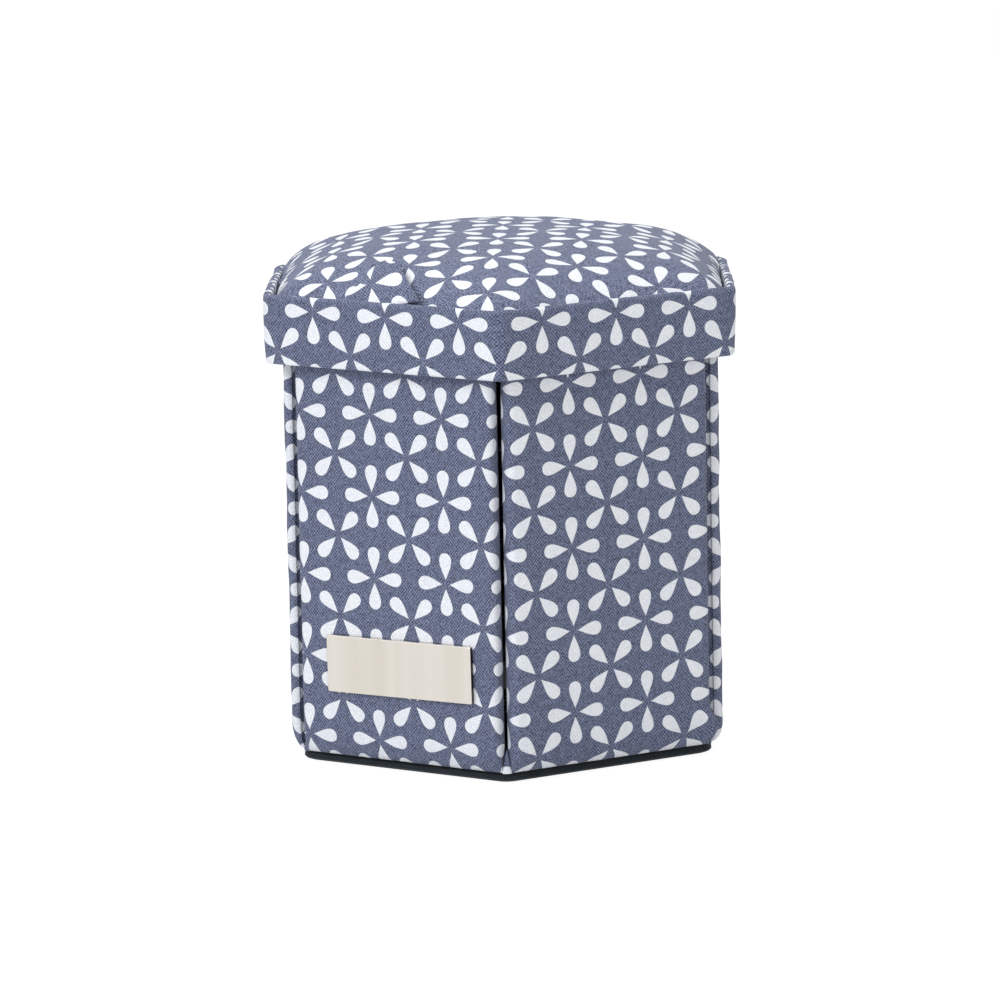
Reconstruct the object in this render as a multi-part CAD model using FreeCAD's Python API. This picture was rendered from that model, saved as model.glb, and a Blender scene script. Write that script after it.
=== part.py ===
import FreeCAD
import Part
import math
import os

# Fold-out hexagonal sewing box, in millimetres.
# Six padded boards stand round a six-sided base on fabric hinges, and a lift-off lid whose top is a
# crowned pincushion slides over their upper edges and holds them upright. With the lid off, the boards
# fall open like petals and show the notions that they carry.
# Frame: Z up from the middle of the sole's underside, and a corner of the box faces -Y.

# Padded side flaps
FLAP_WIDTH = 50.0
FLAP_HEIGHT = 93.0
FLAP_PAD = 1.35            # wadding and printed cotton on the outer face
FLAP_BOARD = 2.0
FLAP_LINING = 1.0
FLAP_CORNER_GAP = 0.4      # each flap's side edge to the corner plane, at the inner face
FLAP_EDGE_RADIUS = 1.9     # rounding of the padded side edges
FLAP_FOOT_LAND = 0.35      # flat left under the foot's rounding
FLAP_TOP_LAND = 1.35       # flat left on top beside the top rounding
BOARD_EDGE_COVER = 0.7     # cotton and wadding wrapped round the board's edges
LINING_MARGIN = 3.0        # turned-in border of the cover that shows round the lining

# Base
SOLE_THICKNESS = 2.2
SOLE_INSET = 2.55          # from the flaps' outer face
SOLE_CORNER_RADIUS = 4.0
SOLE_EDGE_RADIUS = 0.6
TAPE_THICKNESS = 0.6       # cotton hinge tape, clamped between sole and base board
TAPE_WIDTH = 44.0
TAPE_TUCK = 8.0            # length under the base board
TAPE_OVERHANG = 0.2        # past the sole's edge, where the hinge line runs
BASE_BOARD_THICKNESS = 2.0
BASE_LINING_THICKNESS = 1.2
BASE_EDGE_GAP = 0.8        # base board to the flaps' inner faces
BASE_CORNER_RADIUS = 2.0
FLAP_FOOT_GAP = 0.25       # hinge tape to the flaps' feet

# Lid
LID_OVERLAP = 5.0          # rim over the flaps' top edges
LID_SEAT_GAP = 0.3
RIM_HEIGHT = 15.4
RIM_CARD = 1.2
RIM_COTTON = 0.4
RIM_LIP = 2.6              # soft roll of cotton above the card
RIM_CLEARANCE = 1.66       # flaps' outer face to the rim's inner face
RIM_CORNER_RADIUS = 3.0
RIM_EDGE_LAND = 0.1        # flat left between the roundings of the rim's lower edge
LID_LINING_THICKNESS = 1.5
LID_LINING_GAP = 0.4
LID_BOARD_THICKNESS = 2.5

# Pincushion
CUSHION_SIDE_GAP = 0.5     # to the rim card
CUSHION_SINK = 2.0         # where the dome starts, below the rim's top
CUSHION_CROWN = 11.8       # dome height
CUSHION_DRAW_IN = 0.8      # how far the sides pull in at the board
CUSHION_COTTON = 0.6
CUSHION_CORNER_RADIUS = 3.5
CUSHION_FLATNESS = 3.0     # exponents of the dome's section
CUSHION_SHOULDER = 1.5
CUSHION_ROUNDNESS = 0.75   # how far the six sides round off towards the crown
CUSHION_STATIONS = (1.0, 0.94, 0.84, 0.7, 0.5, 0.25)

# Metal plate on the front left flap
PLATE_WIDTH = 37.3
PLATE_HEIGHT = 12.9
PLATE_THICKNESS = 1.0
PLATE_CORNER_RADIUS = 0.45
PLATE_EDGE_RADIUS = 0.25
PLATE_RISE = 24.3          # its middle above the table
PLATE_SHIFT = 1.3          # sideways from the flap's middle line
PLATE_TILT = 0.8           # degrees
PLATE_TAPE_THICKNESS = 0.3
PLATE_TAPE_MARGIN = 1.2

# Thread reels and their elastic bands
REEL_HEIGHT = 46.0
REEL_FLANGE_RADIUS = 10.5
REEL_FLANGE = 2.0
REEL_FLANGE_ROUND = 0.5
REEL_BARREL_RADIUS = 6.5
REEL_BORE_RADIUS = 3.6
REEL_RISE = 28.0
THREAD_DEPTH = 1.2         # full winding below the flanges' rims
THREAD_SHOULDER = 0.8
NOTION_GAP = 0.3           # between a notion and what holds it
BAND_THICKNESS = 0.8
BAND_HEIGHT = 14.0
BAND_FOOT = 4.0

# Pockets with the needle card and the tape measure
POCKET_COTTON = 0.8
POCKET_SEAM = 1.6
POCKET_HEIGHT = 42.0
POCKET_RISE = 12.0
POCKET_TOP_ROUND = 0.35
CARD_WIDTH = 30.0
CARD_HEIGHT = 62.0
CARD_THICKNESS = 1.0
CARD_CORNER_RADIUS = 4.0
NEEDLE_RADIUS = 0.4
NEEDLE_LENGTH = 40.0
NEEDLE_POINT = 5.0
NEEDLE_COUNT = 5
NEEDLE_PITCH = 4.5
NEEDLE_HEADROOM = 6.0      # card's top edge to the needles' eyes
MEASURE_WIDTH = 16.0
MEASURE_LENGTH = 58.0
MEASURE_THICKNESS = 6.0

# Scissors, lying on the base along Y
SCISSORS_PLATE = 1.4
SCISSORS_LIFT = 0.4        # lower blade above the lining
SCISSORS_RUNNING_GAP = 0.1
SCISSORS_TIP_GAP = 3.2     # blade tips to the base's edge
SCISSORS_RING_GAP = 5.0    # finger rings to the base's edge
BLADE_SPINE = 4.2          # spine's distance from the middle line at the pivot
BLADE_BELLY = 3.1          # the same at half the blade's length
BLADE_EDGE = 1.3           # cutting edge's distance past the middle line
BLADE_TIP = 0.5
GRIND_WIDTH = 1.3          # ground back from the cutting edge
GRIND_LAND = 0.4           # plate left at the cutting edge
GRIND_START = 2.0          # from the boss to the start of the grind
BOSS_RADIUS = 4.6
SHANK_ROOT = 5.4           # width at the pivot
SHANK_WIDTH = 4.4          # width at the finger ring
SHANK_BEDDING = 2.0        # length of shank inside the finger ring
RING_INNER_RADIUS = 6.2
RING_WALL = 3.0
RING_THICKNESS = 3.8
RING_EDGE_LAND = 0.8       # flat left between the roundings of a finger ring
RING_PARTING = 1.2         # between the two rings when closed
RIVET_RADIUS = 1.6
RIVET_CLEARANCE = 0.05
RIVET_HEAD_RADIUS = 2.8
RIVET_HEAD = 0.9
RIVET_HEAD_ROUND = 0.5
RIVET_TAIL = 0.3
KEEPER_THICKNESS = 0.6
KEEPER_WIDTH = 7.0
KEEPER_FOOT = 2.6
KEEPER_RING_GAP = 2.9      # keeper to the lower finger ring

# Thimble, mouth up in a padded ring
THIMBLE_INSET = 17.2       # its middle from the base's right edge
THIMBLE_Y = 8.0
THIMBLE_HEIGHT = 21.0
THIMBLE_MOUTH_RADIUS = 8.6
THIMBLE_END_RADIUS = 6.6
THIMBLE_WALL = 0.8
THIMBLE_END_ROUND = 2.0
THIMBLE_BEAD = 0.7
THIMBLE_RING_HEIGHT = 8.0
THIMBLE_RING_WALL = 1.8
THIMBLE_RING_ROUND = 0.7

# Derived places
FLAP_FACING = {"front_left": -120, "front_right": -60, "right": 0,
               "back_right": 60, "back_left": 120, "left": 180}
REEL_FLAPS = ("front_left", "front_right", "back_right", "back_left")
SIDES = 6
HALF_TURN = 180.0 / SIDES
FLAP_THICKNESS = FLAP_PAD + FLAP_BOARD + FLAP_LINING
FLAP_INNER = (FLAP_WIDTH / 2 + FLAP_CORNER_GAP) / math.tan(math.radians(HALF_TURN))
FLAP_OUTER = FLAP_INNER + FLAP_THICKNESS
BOARD_INNER = FLAP_INNER + FLAP_LINING
BOARD_OUTER = BOARD_INNER + FLAP_BOARD
SOLE_APOTHEM = FLAP_OUTER - SOLE_INSET
TAPE_TOP = SOLE_THICKNESS + TAPE_THICKNESS
HINGE_APOTHEM = SOLE_APOTHEM + TAPE_OVERHANG
HINGE_Z = SOLE_THICKNESS + TAPE_THICKNESS / 2
BASE_APOTHEM = FLAP_INNER - BASE_EDGE_GAP
BASE_LINING_Z = TAPE_TOP + BASE_BOARD_THICKNESS
FLOOR_Z = BASE_LINING_Z + BASE_LINING_THICKNESS
FLAP_FOOT = TAPE_TOP + FLAP_FOOT_GAP
FLAP_TOP = FLAP_FOOT + FLAP_HEIGHT
FOOT_RADIUS = FLAP_THICKNESS - FLAP_FOOT_LAND
TOP_RADIUS = FLAP_THICKNESS - FLAP_TOP_LAND
RIM_INNER = FLAP_OUTER + RIM_CLEARANCE
CARD_INNER = RIM_INNER + RIM_COTTON
CARD_OUTER = CARD_INNER + RIM_CARD
RIM_OUTER = CARD_OUTER + RIM_COTTON
RIM_FOOT = FLAP_TOP - LID_OVERLAP
RIM_TOP = RIM_FOOT + RIM_HEIGHT
RIM_EDGE_RADIUS = (RIM_OUTER - RIM_INNER - RIM_EDGE_LAND) / 2
LID_LINING_Z = FLAP_TOP + LID_SEAT_GAP
LID_BOARD_Z = LID_LINING_Z + LID_LINING_THICKNESS
CUSHION_Z = LID_BOARD_Z + LID_BOARD_THICKNESS
CUSHION_APOTHEM = CARD_INNER - CUSHION_SIDE_GAP
DOME_Z = RIM_TOP - CUSHION_SINK
REEL_AXIS = FLAP_INNER - REEL_FLANGE_RADIUS - NOTION_GAP
THREAD_RADIUS = REEL_FLANGE_RADIUS - THREAD_DEPTH
BAND_INNER_RADIUS = THREAD_RADIUS + NOTION_GAP
BAND_OUTER_RADIUS = BAND_INNER_RADIUS + BAND_THICKNESS
BAND_Z = REEL_RISE + (REEL_HEIGHT - BAND_HEIGHT) / 2
BLADE_REACH = BASE_APOTHEM - SCISSORS_TIP_GAP
RING_OUTER_RADIUS = RING_INNER_RADIUS + RING_WALL
RING_EDGE_RADIUS = (RING_WALL - RING_EDGE_LAND) / 2
RING_SPREAD = RING_OUTER_RADIUS + RING_PARTING / 2
RING_REACH = BASE_APOTHEM - SCISSORS_RING_GAP - RING_OUTER_RADIUS
SHANK_ANGLE = math.degrees(math.atan2(RING_SPREAD, RING_REACH))
SHANK_REACH = math.hypot(RING_SPREAD, RING_REACH) - RING_OUTER_RADIUS
KEEPER_REACH = SHANK_REACH - KEEPER_RING_GAP - KEEPER_WIDTH / 2
THIMBLE_X = BASE_APOTHEM - THIMBLE_INSET
LOWER_PLATE_Z = FLOOR_Z + SCISSORS_LIFT
UPPER_PLATE_Z = LOWER_PLATE_Z + SCISSORS_PLATE + SCISSORS_RUNNING_GAP
RIVET_HEAD_Z = UPPER_PLATE_Z + SCISSORS_PLATE + SCISSORS_RUNNING_GAP
PIVOT = FreeCAD.Vector(0, 0, 0)
UP = FreeCAD.Vector(0, 0, 1)


def vec(x, y, z=0.0):
    return FreeCAD.Vector(x, y, z)


def box(low, high):
    """Block between two opposite corners."""
    size = [b - a for a, b in zip(low, high)]
    return Part.makeBox(*size, vec(*low))


def turned(shape, angle, centre=PIVOT, axis=UP):
    """Copy of a shape, turned about an axis."""
    copy = shape.copy()
    copy.rotate(centre, axis, angle)
    return copy


def facing(shape, flap):
    """Copy of a piece drawn on the +X side, turned to a flap's side of the box."""
    return turned(shape, FLAP_FACING[flap])


def polar(radius, angle, z):
    return vec(radius * math.cos(math.radians(angle)), radius * math.sin(math.radians(angle)), z)


def hexagon(apothem, corner, z):
    """Closed wire of a hexagon with rounded corners and flats that face the six flaps."""
    reach_out = apothem / math.cos(math.radians(HALF_TURN))
    setback = corner * math.tan(math.radians(HALF_TURN))
    cut_back = corner / math.cos(math.radians(HALF_TURN)) - corner
    corners = []
    for side in range(SIDES):
        angle = HALF_TURN + 2 * HALF_TURN * side
        vertex = polar(reach_out, angle, z)
        before = polar(reach_out, angle - 2 * HALF_TURN, z)
        after = polar(reach_out, angle + 2 * HALF_TURN, z)
        start = vertex + (before - vertex).normalize() * setback
        end = vertex + (after - vertex).normalize() * setback
        corners.append((start, polar(reach_out - cut_back, angle, z), end))
    edges = []
    for index, (start, middle, end) in enumerate(corners):
        edges.append(Part.LineSegment(corners[index - 1][2], start).toShape())
        edges.append(Part.Arc(start, middle, end).toShape())
    return Part.Wire(edges)


def hexagon_plate(apothem, corner, low, high):
    """Six-sided plate with rounded corners."""
    return Part.Face(hexagon(apothem, corner, low)).extrude(vec(0, 0, high - low))


def hexagon_ring(inner, outer, corner, low, high):
    """Six-sided ring whose inner corner follows the outer one at the wall's thickness."""
    inner_corner = max(corner - (outer - inner), corner / 3)
    return hexagon_plate(outer, corner, low, high).cut(hexagon_plate(inner, inner_corner, low, high))


def level_edges(shape, z):
    """Edges of a shape that lie wholly at one height."""
    return [e for e in shape.Edges if max(abs(v.Z - z) for v in e.Vertexes) < 1e-4
            and abs(e.CenterOfMass.z - z) < 1e-4]


def rounded_block(width, height, depth, corner):
    """Plate standing in the YZ plane, its back face at X = 0, with rounded corners."""
    plate = box((0, -width / 2, -height / 2), (depth, width / 2, height / 2))
    upright = [e for e in plate.Edges if abs(e.Vertexes[0].X - e.Vertexes[1].X) > depth / 2]
    return plate.makeFillet(corner, upright)


def base_sole():
    sole = hexagon_plate(SOLE_APOTHEM, SOLE_CORNER_RADIUS, 0, SOLE_THICKNESS)
    return sole.makeFillet(SOLE_EDGE_RADIUS, level_edges(sole, 0))


def base_board():
    return hexagon_plate(BASE_APOTHEM, BASE_CORNER_RADIUS, TAPE_TOP, BASE_LINING_Z)


def base_lining():
    lining = hexagon_plate(BASE_APOTHEM, BASE_CORNER_RADIUS, BASE_LINING_Z, FLOOR_Z)
    return lining.makeFillet(BASE_LINING_THICKNESS / 2, level_edges(lining, FLOOR_Z))


def hinge_tapes():
    """Six cotton strips, each with its folded outer edge round the hinge line."""
    inner = BASE_APOTHEM - TAPE_TUCK
    strip = box((inner, -TAPE_WIDTH / 2, SOLE_THICKNESS), (HINGE_APOTHEM, TAPE_WIDTH / 2, TAPE_TOP))
    fold = Part.makeCylinder(TAPE_THICKNESS / 2, TAPE_WIDTH,
                             vec(HINGE_APOTHEM, -TAPE_WIDTH / 2, HINGE_Z), vec(0, 1, 0))
    strip = strip.fuse(fold).removeSplitter()
    return Part.makeCompound([facing(strip.Solids[0], flap) for flap in FLAP_FACING])


def flap_envelope():
    """Outer form of a padded flap: rounded foot, rounded top and soft side edges."""
    foot_mid = FOOT_RADIUS * math.sin(math.pi / 4)
    top_mid = TOP_RADIUS * math.sin(math.pi / 4)
    half = -FLAP_WIDTH / 2
    foot_x = FLAP_OUTER - FOOT_RADIUS
    foot_z = FLAP_FOOT + FOOT_RADIUS
    top_x = FLAP_OUTER - TOP_RADIUS
    top_z = FLAP_TOP - TOP_RADIUS
    inner_foot = vec(FLAP_INNER, half, FLAP_FOOT)
    inner_top = vec(FLAP_INNER, half, FLAP_TOP)
    foot_start = vec(foot_x, half, FLAP_FOOT)
    foot_end = vec(FLAP_OUTER, half, foot_z)
    top_start = vec(FLAP_OUTER, half, top_z)
    top_end = vec(top_x, half, FLAP_TOP)
    section = Part.Wire([
        Part.LineSegment(inner_foot, foot_start).toShape(),
        Part.Arc(foot_start, vec(foot_x + foot_mid, half, foot_z - foot_mid), foot_end).toShape(),
        Part.LineSegment(foot_end, top_start).toShape(),
        Part.Arc(top_start, vec(top_x + top_mid, half, top_z + top_mid), top_end).toShape(),
        Part.LineSegment(top_end, inner_top).toShape(),
        Part.LineSegment(inner_top, inner_foot).toShape(),
    ])
    block = Part.Face(section).extrude(vec(0, FLAP_WIDTH, 0))
    outline = [e for e in block.Edges if on_padded_edge(e)]
    return block.makeFillet(FLAP_EDGE_RADIUS, outline)


def on_padded_edge(edge):
    """True for the edges round a flap's two ends, apart from those on its inner face."""
    ends = edge.Vertexes
    at_end = all(abs(abs(v.Y) - FLAP_WIDTH / 2) < 1e-4 for v in ends)
    across = abs(ends[0].Y - ends[1].Y) > 1
    inside = all(abs(v.X - FLAP_INNER) < 1e-4 for v in ends)
    return at_end and not across and not inside


def rounding_depth(radius, depth):
    """How far a rounded edge has fallen back at a depth under the outer face."""
    inward = max(radius - depth, 0.0)
    return radius - math.sqrt(radius * radius - inward * inward)


def flap_board():
    half = FLAP_WIDTH / 2 - BOARD_EDGE_COVER - rounding_depth(FLAP_EDGE_RADIUS, FLAP_PAD)
    low = FLAP_FOOT + BOARD_EDGE_COVER + rounding_depth(FOOT_RADIUS, FLAP_PAD)
    high = FLAP_TOP - BOARD_EDGE_COVER - rounding_depth(TOP_RADIUS, FLAP_PAD)
    return box((BOARD_INNER, -half, low), (BOARD_OUTER, half, high))


def flap_lining():
    half = FLAP_WIDTH / 2 - LINING_MARGIN
    low = FLAP_FOOT + LINING_MARGIN
    high = FLAP_TOP - LINING_MARGIN
    return box((FLAP_INNER, -half, low), (BOARD_INNER, half, high))


def flap_cover():
    """Printed padded cover: wraps the outer face and edges and turns in round the lining."""
    return flap_envelope().cut(flap_board()).cut(flap_lining())


def name_plate():
    """Bare metal plate, in place on the front left flap's side before it is turned there."""
    plate = rounded_block(PLATE_WIDTH, PLATE_HEIGHT, PLATE_THICKNESS, PLATE_CORNER_RADIUS)
    front = [e for e in plate.Edges if all(abs(v.X - PLATE_THICKNESS) < 1e-4 for v in e.Vertexes)]
    return on_plate_seat(plate.makeFillet(PLATE_EDGE_RADIUS, front), PLATE_TAPE_THICKNESS)


def plate_tape():
    width = PLATE_WIDTH - 2 * PLATE_TAPE_MARGIN
    height = PLATE_HEIGHT - 2 * PLATE_TAPE_MARGIN
    tape = box((0, -width / 2, -height / 2), (PLATE_TAPE_THICKNESS, width / 2, height / 2))
    return on_plate_seat(tape, 0)


def on_plate_seat(shape, lift):
    seated = turned(shape, PLATE_TILT, PIVOT, vec(1, 0, 0))
    seated.translate(vec(FLAP_OUTER + lift, PLATE_SHIFT, PLATE_RISE))
    return facing(seated, "front_left")


def revolved(points):
    """Solid turned about the Z axis from a closed outline of (radius, height) points."""
    outline = [vec(r, 0, z) for r, z in points]
    face = Part.Face(Part.makePolygon(outline + outline[:1]))
    return face.revolve(PIVOT, UP, 360)


def reel_core():
    """Reel with a bore, a barrel and two flanges with softened rims."""
    flange = REEL_FLANGE
    top = REEL_HEIGHT
    core = revolved([
        (REEL_BORE_RADIUS, 0), (REEL_FLANGE_RADIUS, 0), (REEL_FLANGE_RADIUS, flange),
        (REEL_BARREL_RADIUS, flange), (REEL_BARREL_RADIUS, top - flange),
        (REEL_FLANGE_RADIUS, top - flange), (REEL_FLANGE_RADIUS, top), (REEL_BORE_RADIUS, top)])
    rims = [e for e in core.Edges if len(e.Vertexes) == 1
            and abs(e.Curve.Radius - REEL_FLANGE_RADIUS) < 1e-4]
    core = core.makeFillet(REEL_FLANGE_ROUND, rims)
    core.translate(vec(REEL_AXIS, 0, REEL_RISE))
    return core


def reel_thread():
    """Wound thread between the flanges, its ends sloping in."""
    low = REEL_FLANGE
    high = REEL_HEIGHT - REEL_FLANGE
    thread = revolved([
        (REEL_BARREL_RADIUS, low), (THREAD_RADIUS - THREAD_SHOULDER, low),
        (THREAD_RADIUS, low + THREAD_SHOULDER), (THREAD_RADIUS, high - THREAD_SHOULDER),
        (THREAD_RADIUS - THREAD_SHOULDER, high), (REEL_BARREL_RADIUS, high)])
    thread.translate(vec(REEL_AXIS, 0, REEL_RISE))
    return thread


def reel_band():
    """Elastic band: round the reel's front, straight back to the lining, with two sewn feet."""
    high = BAND_Z + BAND_HEIGHT
    centre = vec(REEL_AXIS, 0, BAND_Z)
    bow = Part.makeCylinder(BAND_OUTER_RADIUS, BAND_HEIGHT, centre, UP, 180)
    bow = bow.cut(Part.makeCylinder(BAND_INNER_RADIUS, BAND_HEIGHT, centre))
    band = turned(bow, 90, centre)
    for side in (-1, 1):
        inner = side * BAND_INNER_RADIUS
        outer = side * BAND_OUTER_RADIUS
        toe = side * (BAND_OUTER_RADIUS + BAND_FOOT)
        leg = box((REEL_AXIS, min(inner, outer), BAND_Z), (FLAP_INNER, max(inner, outer), high))
        foot = box((FLAP_INNER - BAND_THICKNESS, min(outer, toe), BAND_Z),
                   (FLAP_INNER, max(outer, toe), high))
        band = band.fuse(leg).fuse(foot)
    return band.removeSplitter().Solids[0]


def pocket(width, depth):
    """Patch pocket sewn to a lining on three sides, open at the top."""
    half = width / 2 + NOTION_GAP + POCKET_SEAM
    inside = half - POCKET_SEAM
    slot = FLAP_INNER - depth
    front = slot - POCKET_COTTON
    high = POCKET_RISE + POCKET_HEIGHT
    patch = box((front, -half, POCKET_RISE), (FLAP_INNER, half, high))
    soft = [e for e in patch.Edges if all(abs(v.X - front) < 1e-4 for v in e.Vertexes)]
    patch = patch.makeFillet(POCKET_TOP_ROUND, soft)
    return patch.cut(box((slot, -inside, POCKET_RISE + POCKET_SEAM), (FLAP_INNER, inside, high)))


def needle_stack():
    """Depth that the needle card and its needles take inside their pocket."""
    return NOTION_GAP + CARD_THICKNESS + 2 * NEEDLE_RADIUS + NOTION_GAP


def needle_card():
    card = rounded_block(CARD_WIDTH, CARD_HEIGHT, CARD_THICKNESS, CARD_CORNER_RADIUS)
    foot = POCKET_RISE + POCKET_SEAM + NOTION_GAP
    card.translate(vec(FLAP_INNER - NOTION_GAP - CARD_THICKNESS, 0, foot + CARD_HEIGHT / 2))
    return card


def needles():
    """Row of sharps lying on the needle card, points down."""
    row = []
    card_top = POCKET_RISE + POCKET_SEAM + NOTION_GAP + CARD_HEIGHT
    eye = card_top - NEEDLE_HEADROOM
    x = FLAP_INNER - NOTION_GAP - CARD_THICKNESS - NEEDLE_RADIUS
    for index in range(NEEDLE_COUNT):
        y = (index - (NEEDLE_COUNT - 1) / 2) * NEEDLE_PITCH
        stem = Part.makeCylinder(NEEDLE_RADIUS, NEEDLE_LENGTH - NEEDLE_POINT,
                                 vec(x, y, eye), vec(0, 0, -1))
        point = Part.makeCone(NEEDLE_RADIUS, NEEDLE_RADIUS / 4, NEEDLE_POINT,
                              vec(x, y, eye - NEEDLE_LENGTH + NEEDLE_POINT), vec(0, 0, -1))
        row.append(stem.fuse(point).removeSplitter().Solids[0])
    return Part.makeCompound(row)


def tape_measure():
    """Folded bundle of measuring tape with rounded folds at both ends."""
    fold = MEASURE_THICKNESS / 2
    foot = POCKET_RISE + POCKET_SEAM + NOTION_GAP
    x = FLAP_INNER - NOTION_GAP - fold
    half = MEASURE_WIDTH / 2
    run = box((x - fold, -half, foot + fold), (x + fold, half, foot + MEASURE_LENGTH - fold))
    bundle = run
    for z in (foot + fold, foot + MEASURE_LENGTH - fold):
        bundle = bundle.fuse(Part.makeCylinder(fold, MEASURE_WIDTH, vec(x, -half, z), vec(0, 1, 0)))
    return bundle.removeSplitter().Solids[0]


def shank_width(along):
    """Width of a shank at a distance from the pivot."""
    return SHANK_ROOT + (SHANK_WIDTH - SHANK_ROOT) * along / SHANK_REACH


def scissors_shank(side, low):
    """Tapering bar from the pivot to the finger ring on one side of the middle line."""
    length = SHANK_REACH + SHANK_BEDDING
    root = SHANK_ROOT / 2
    end = shank_width(length) / 2
    outline = Part.makePolygon([vec(-root, 0, low), vec(-end, -length, low), vec(end, -length, low),
                                vec(root, 0, low), vec(-root, 0, low)])
    bar = Part.Face(outline).extrude(vec(0, 0, SCISSORS_PLATE))
    return turned(bar, side * SHANK_ANGLE)


def blade_grind(side, low):
    """Wedge ground off a blade's outer face, along its cutting edge to the point."""
    outer = low + SCISSORS_PLATE if side > 0 else low
    fall = side * (SCISSORS_PLATE - GRIND_LAND)
    start = BOSS_RADIUS + GRIND_START
    edge = side * BLADE_EDGE * (1 - start / BLADE_REACH)
    width = side * GRIND_WIDTH
    crest = vec(edge - 2 * width, start, outer + fall)
    wedge = Part.makePolygon([crest, vec(edge + width, start, outer - 2 * fall),
                              vec(edge + width, start, outer + fall), crest])
    run = vec(-side * BLADE_EDGE, BLADE_REACH, 0)
    return Part.Face(wedge).extrude(run)


def scissors_blade(side, low):
    """One half of the scissors: its ring is at side * X and its blade lies on the other side."""
    spine = -side * BLADE_SPINE
    edge = side * BLADE_EDGE
    tip = -side * BLADE_TIP
    root = vec(edge, 0, low)
    point = vec(0, BLADE_REACH, low)
    shoulder = vec(tip, BLADE_REACH, low)
    belly = vec(-side * BLADE_BELLY, BLADE_REACH / 2, low)
    heel = vec(spine, 0, low)
    outline = Part.Wire([
        Part.LineSegment(root, point).toShape(),
        Part.LineSegment(point, shoulder).toShape(),
        Part.Arc(shoulder, belly, heel).toShape(),
        Part.LineSegment(heel, root).toShape(),
    ])
    blade = Part.Face(outline).extrude(vec(0, 0, SCISSORS_PLATE))
    boss = Part.makeCylinder(BOSS_RADIUS, SCISSORS_PLATE, vec(0, 0, low))
    bore_radius = RIVET_RADIUS + (RIVET_CLEARANCE if side > 0 else 0)
    bore = Part.makeCylinder(bore_radius, SCISSORS_PLATE, vec(0, 0, low))
    half = blade.cut(blade_grind(side, low)).fuse(boss).fuse(scissors_shank(side, low)).removeSplitter()
    return half.cut(bore).Solids[0]


def scissors_grip(side, low, lift):
    """Moulded finger ring round the end of a shank."""
    centre = vec(side * RING_SPREAD, -RING_REACH, FLOOR_Z + lift)
    height = RING_THICKNESS - lift
    ring = Part.makeCylinder(RING_OUTER_RADIUS, height, centre)
    ring = ring.cut(Part.makeCylinder(RING_INNER_RADIUS, height, centre))
    rims = [e for e in ring.Edges if len(e.Vertexes) == 1]
    ring = ring.makeFillet(RING_EDGE_RADIUS, rims)
    return ring.cut(scissors_shank(side, low)).Solids[0]


def scissors_rivet():
    """Rivet fixed in the lower half, on which the upper half turns."""
    low = LOWER_PLATE_Z - RIVET_TAIL
    tail = Part.makeCylinder(RIVET_HEAD_RADIUS, RIVET_TAIL, vec(0, 0, low))
    stem = Part.makeCylinder(RIVET_RADIUS, RIVET_HEAD_Z - LOWER_PLATE_Z, vec(0, 0, LOWER_PLATE_Z))
    head = Part.makeCylinder(RIVET_HEAD_RADIUS, RIVET_HEAD, vec(0, 0, RIVET_HEAD_Z))
    head = head.makeFillet(RIVET_HEAD_ROUND, level_edges(head, RIVET_HEAD_Z + RIVET_HEAD))
    return tail.fuse(stem).fuse(head).removeSplitter().Solids[0]


def scissors_keeper():
    """Elastic loop sewn to the base lining over the lower shank."""
    inside = shank_width(KEEPER_REACH - KEEPER_WIDTH / 2) / 2 + NOTION_GAP
    outside = inside + KEEPER_THICKNESS
    ceiling = LOWER_PLATE_Z + SCISSORS_PLATE + NOTION_GAP
    near = -KEEPER_REACH - KEEPER_WIDTH / 2
    far = -KEEPER_REACH + KEEPER_WIDTH / 2
    arch = box((-outside, near, FLOOR_Z), (outside, far, ceiling + KEEPER_THICKNESS))
    arch = arch.cut(box((-inside, near, FLOOR_Z), (inside, far, ceiling)))
    toe = outside + KEEPER_FOOT
    sole = FLOOR_Z + KEEPER_THICKNESS
    arch = arch.fuse(box((-toe, near, FLOOR_Z), (-outside, far, sole)))
    arch = arch.fuse(box((outside, near, FLOOR_Z), (toe, far, sole))).removeSplitter()
    return turned(arch.Solids[0], -SHANK_ANGLE)


def thimble():
    """Tapered cup with a rounded closed end below and a bead round its mouth."""
    mouth = THIMBLE_MOUTH_RADIUS
    end = THIMBLE_END_RADIUS
    high = THIMBLE_HEIGHT
    outer = Part.makeCone(end, mouth, high)
    outer = outer.makeFillet(THIMBLE_END_ROUND, level_edges(outer, 0))
    inner = Part.makeCone(end - THIMBLE_WALL, mouth - THIMBLE_WALL, high, vec(0, 0, THIMBLE_WALL))
    bead = Part.makeTorus(mouth, THIMBLE_BEAD, vec(0, 0, high - THIMBLE_BEAD))
    cup = outer.fuse(bead).cut(inner)
    cup.translate(vec(THIMBLE_X, THIMBLE_Y, FLOOR_Z))
    return cup.Solids[0]


def thimble_ring():
    """Padded ring sewn to the base lining, in which the thimble stands."""
    taper = (THIMBLE_MOUTH_RADIUS - THIMBLE_END_RADIUS) / THIMBLE_HEIGHT
    inner = THIMBLE_END_RADIUS + taper * THIMBLE_RING_HEIGHT + NOTION_GAP
    centre = vec(THIMBLE_X, THIMBLE_Y, FLOOR_Z)
    ring = Part.makeCylinder(inner + THIMBLE_RING_WALL, THIMBLE_RING_HEIGHT, centre)
    ring = ring.cut(Part.makeCylinder(inner, THIMBLE_RING_HEIGHT, centre))
    rims = level_edges(ring, FLOOR_Z + THIMBLE_RING_HEIGHT)
    return ring.makeFillet(THIMBLE_RING_ROUND, rims)


def lid_rim():
    """Card ring inside the rim's cotton."""
    corner = RIM_CORNER_RADIUS - RIM_COTTON
    return hexagon_ring(CARD_INNER, CARD_OUTER, corner, RIM_FOOT + RIM_COTTON, RIM_TOP - RIM_LIP)


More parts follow.
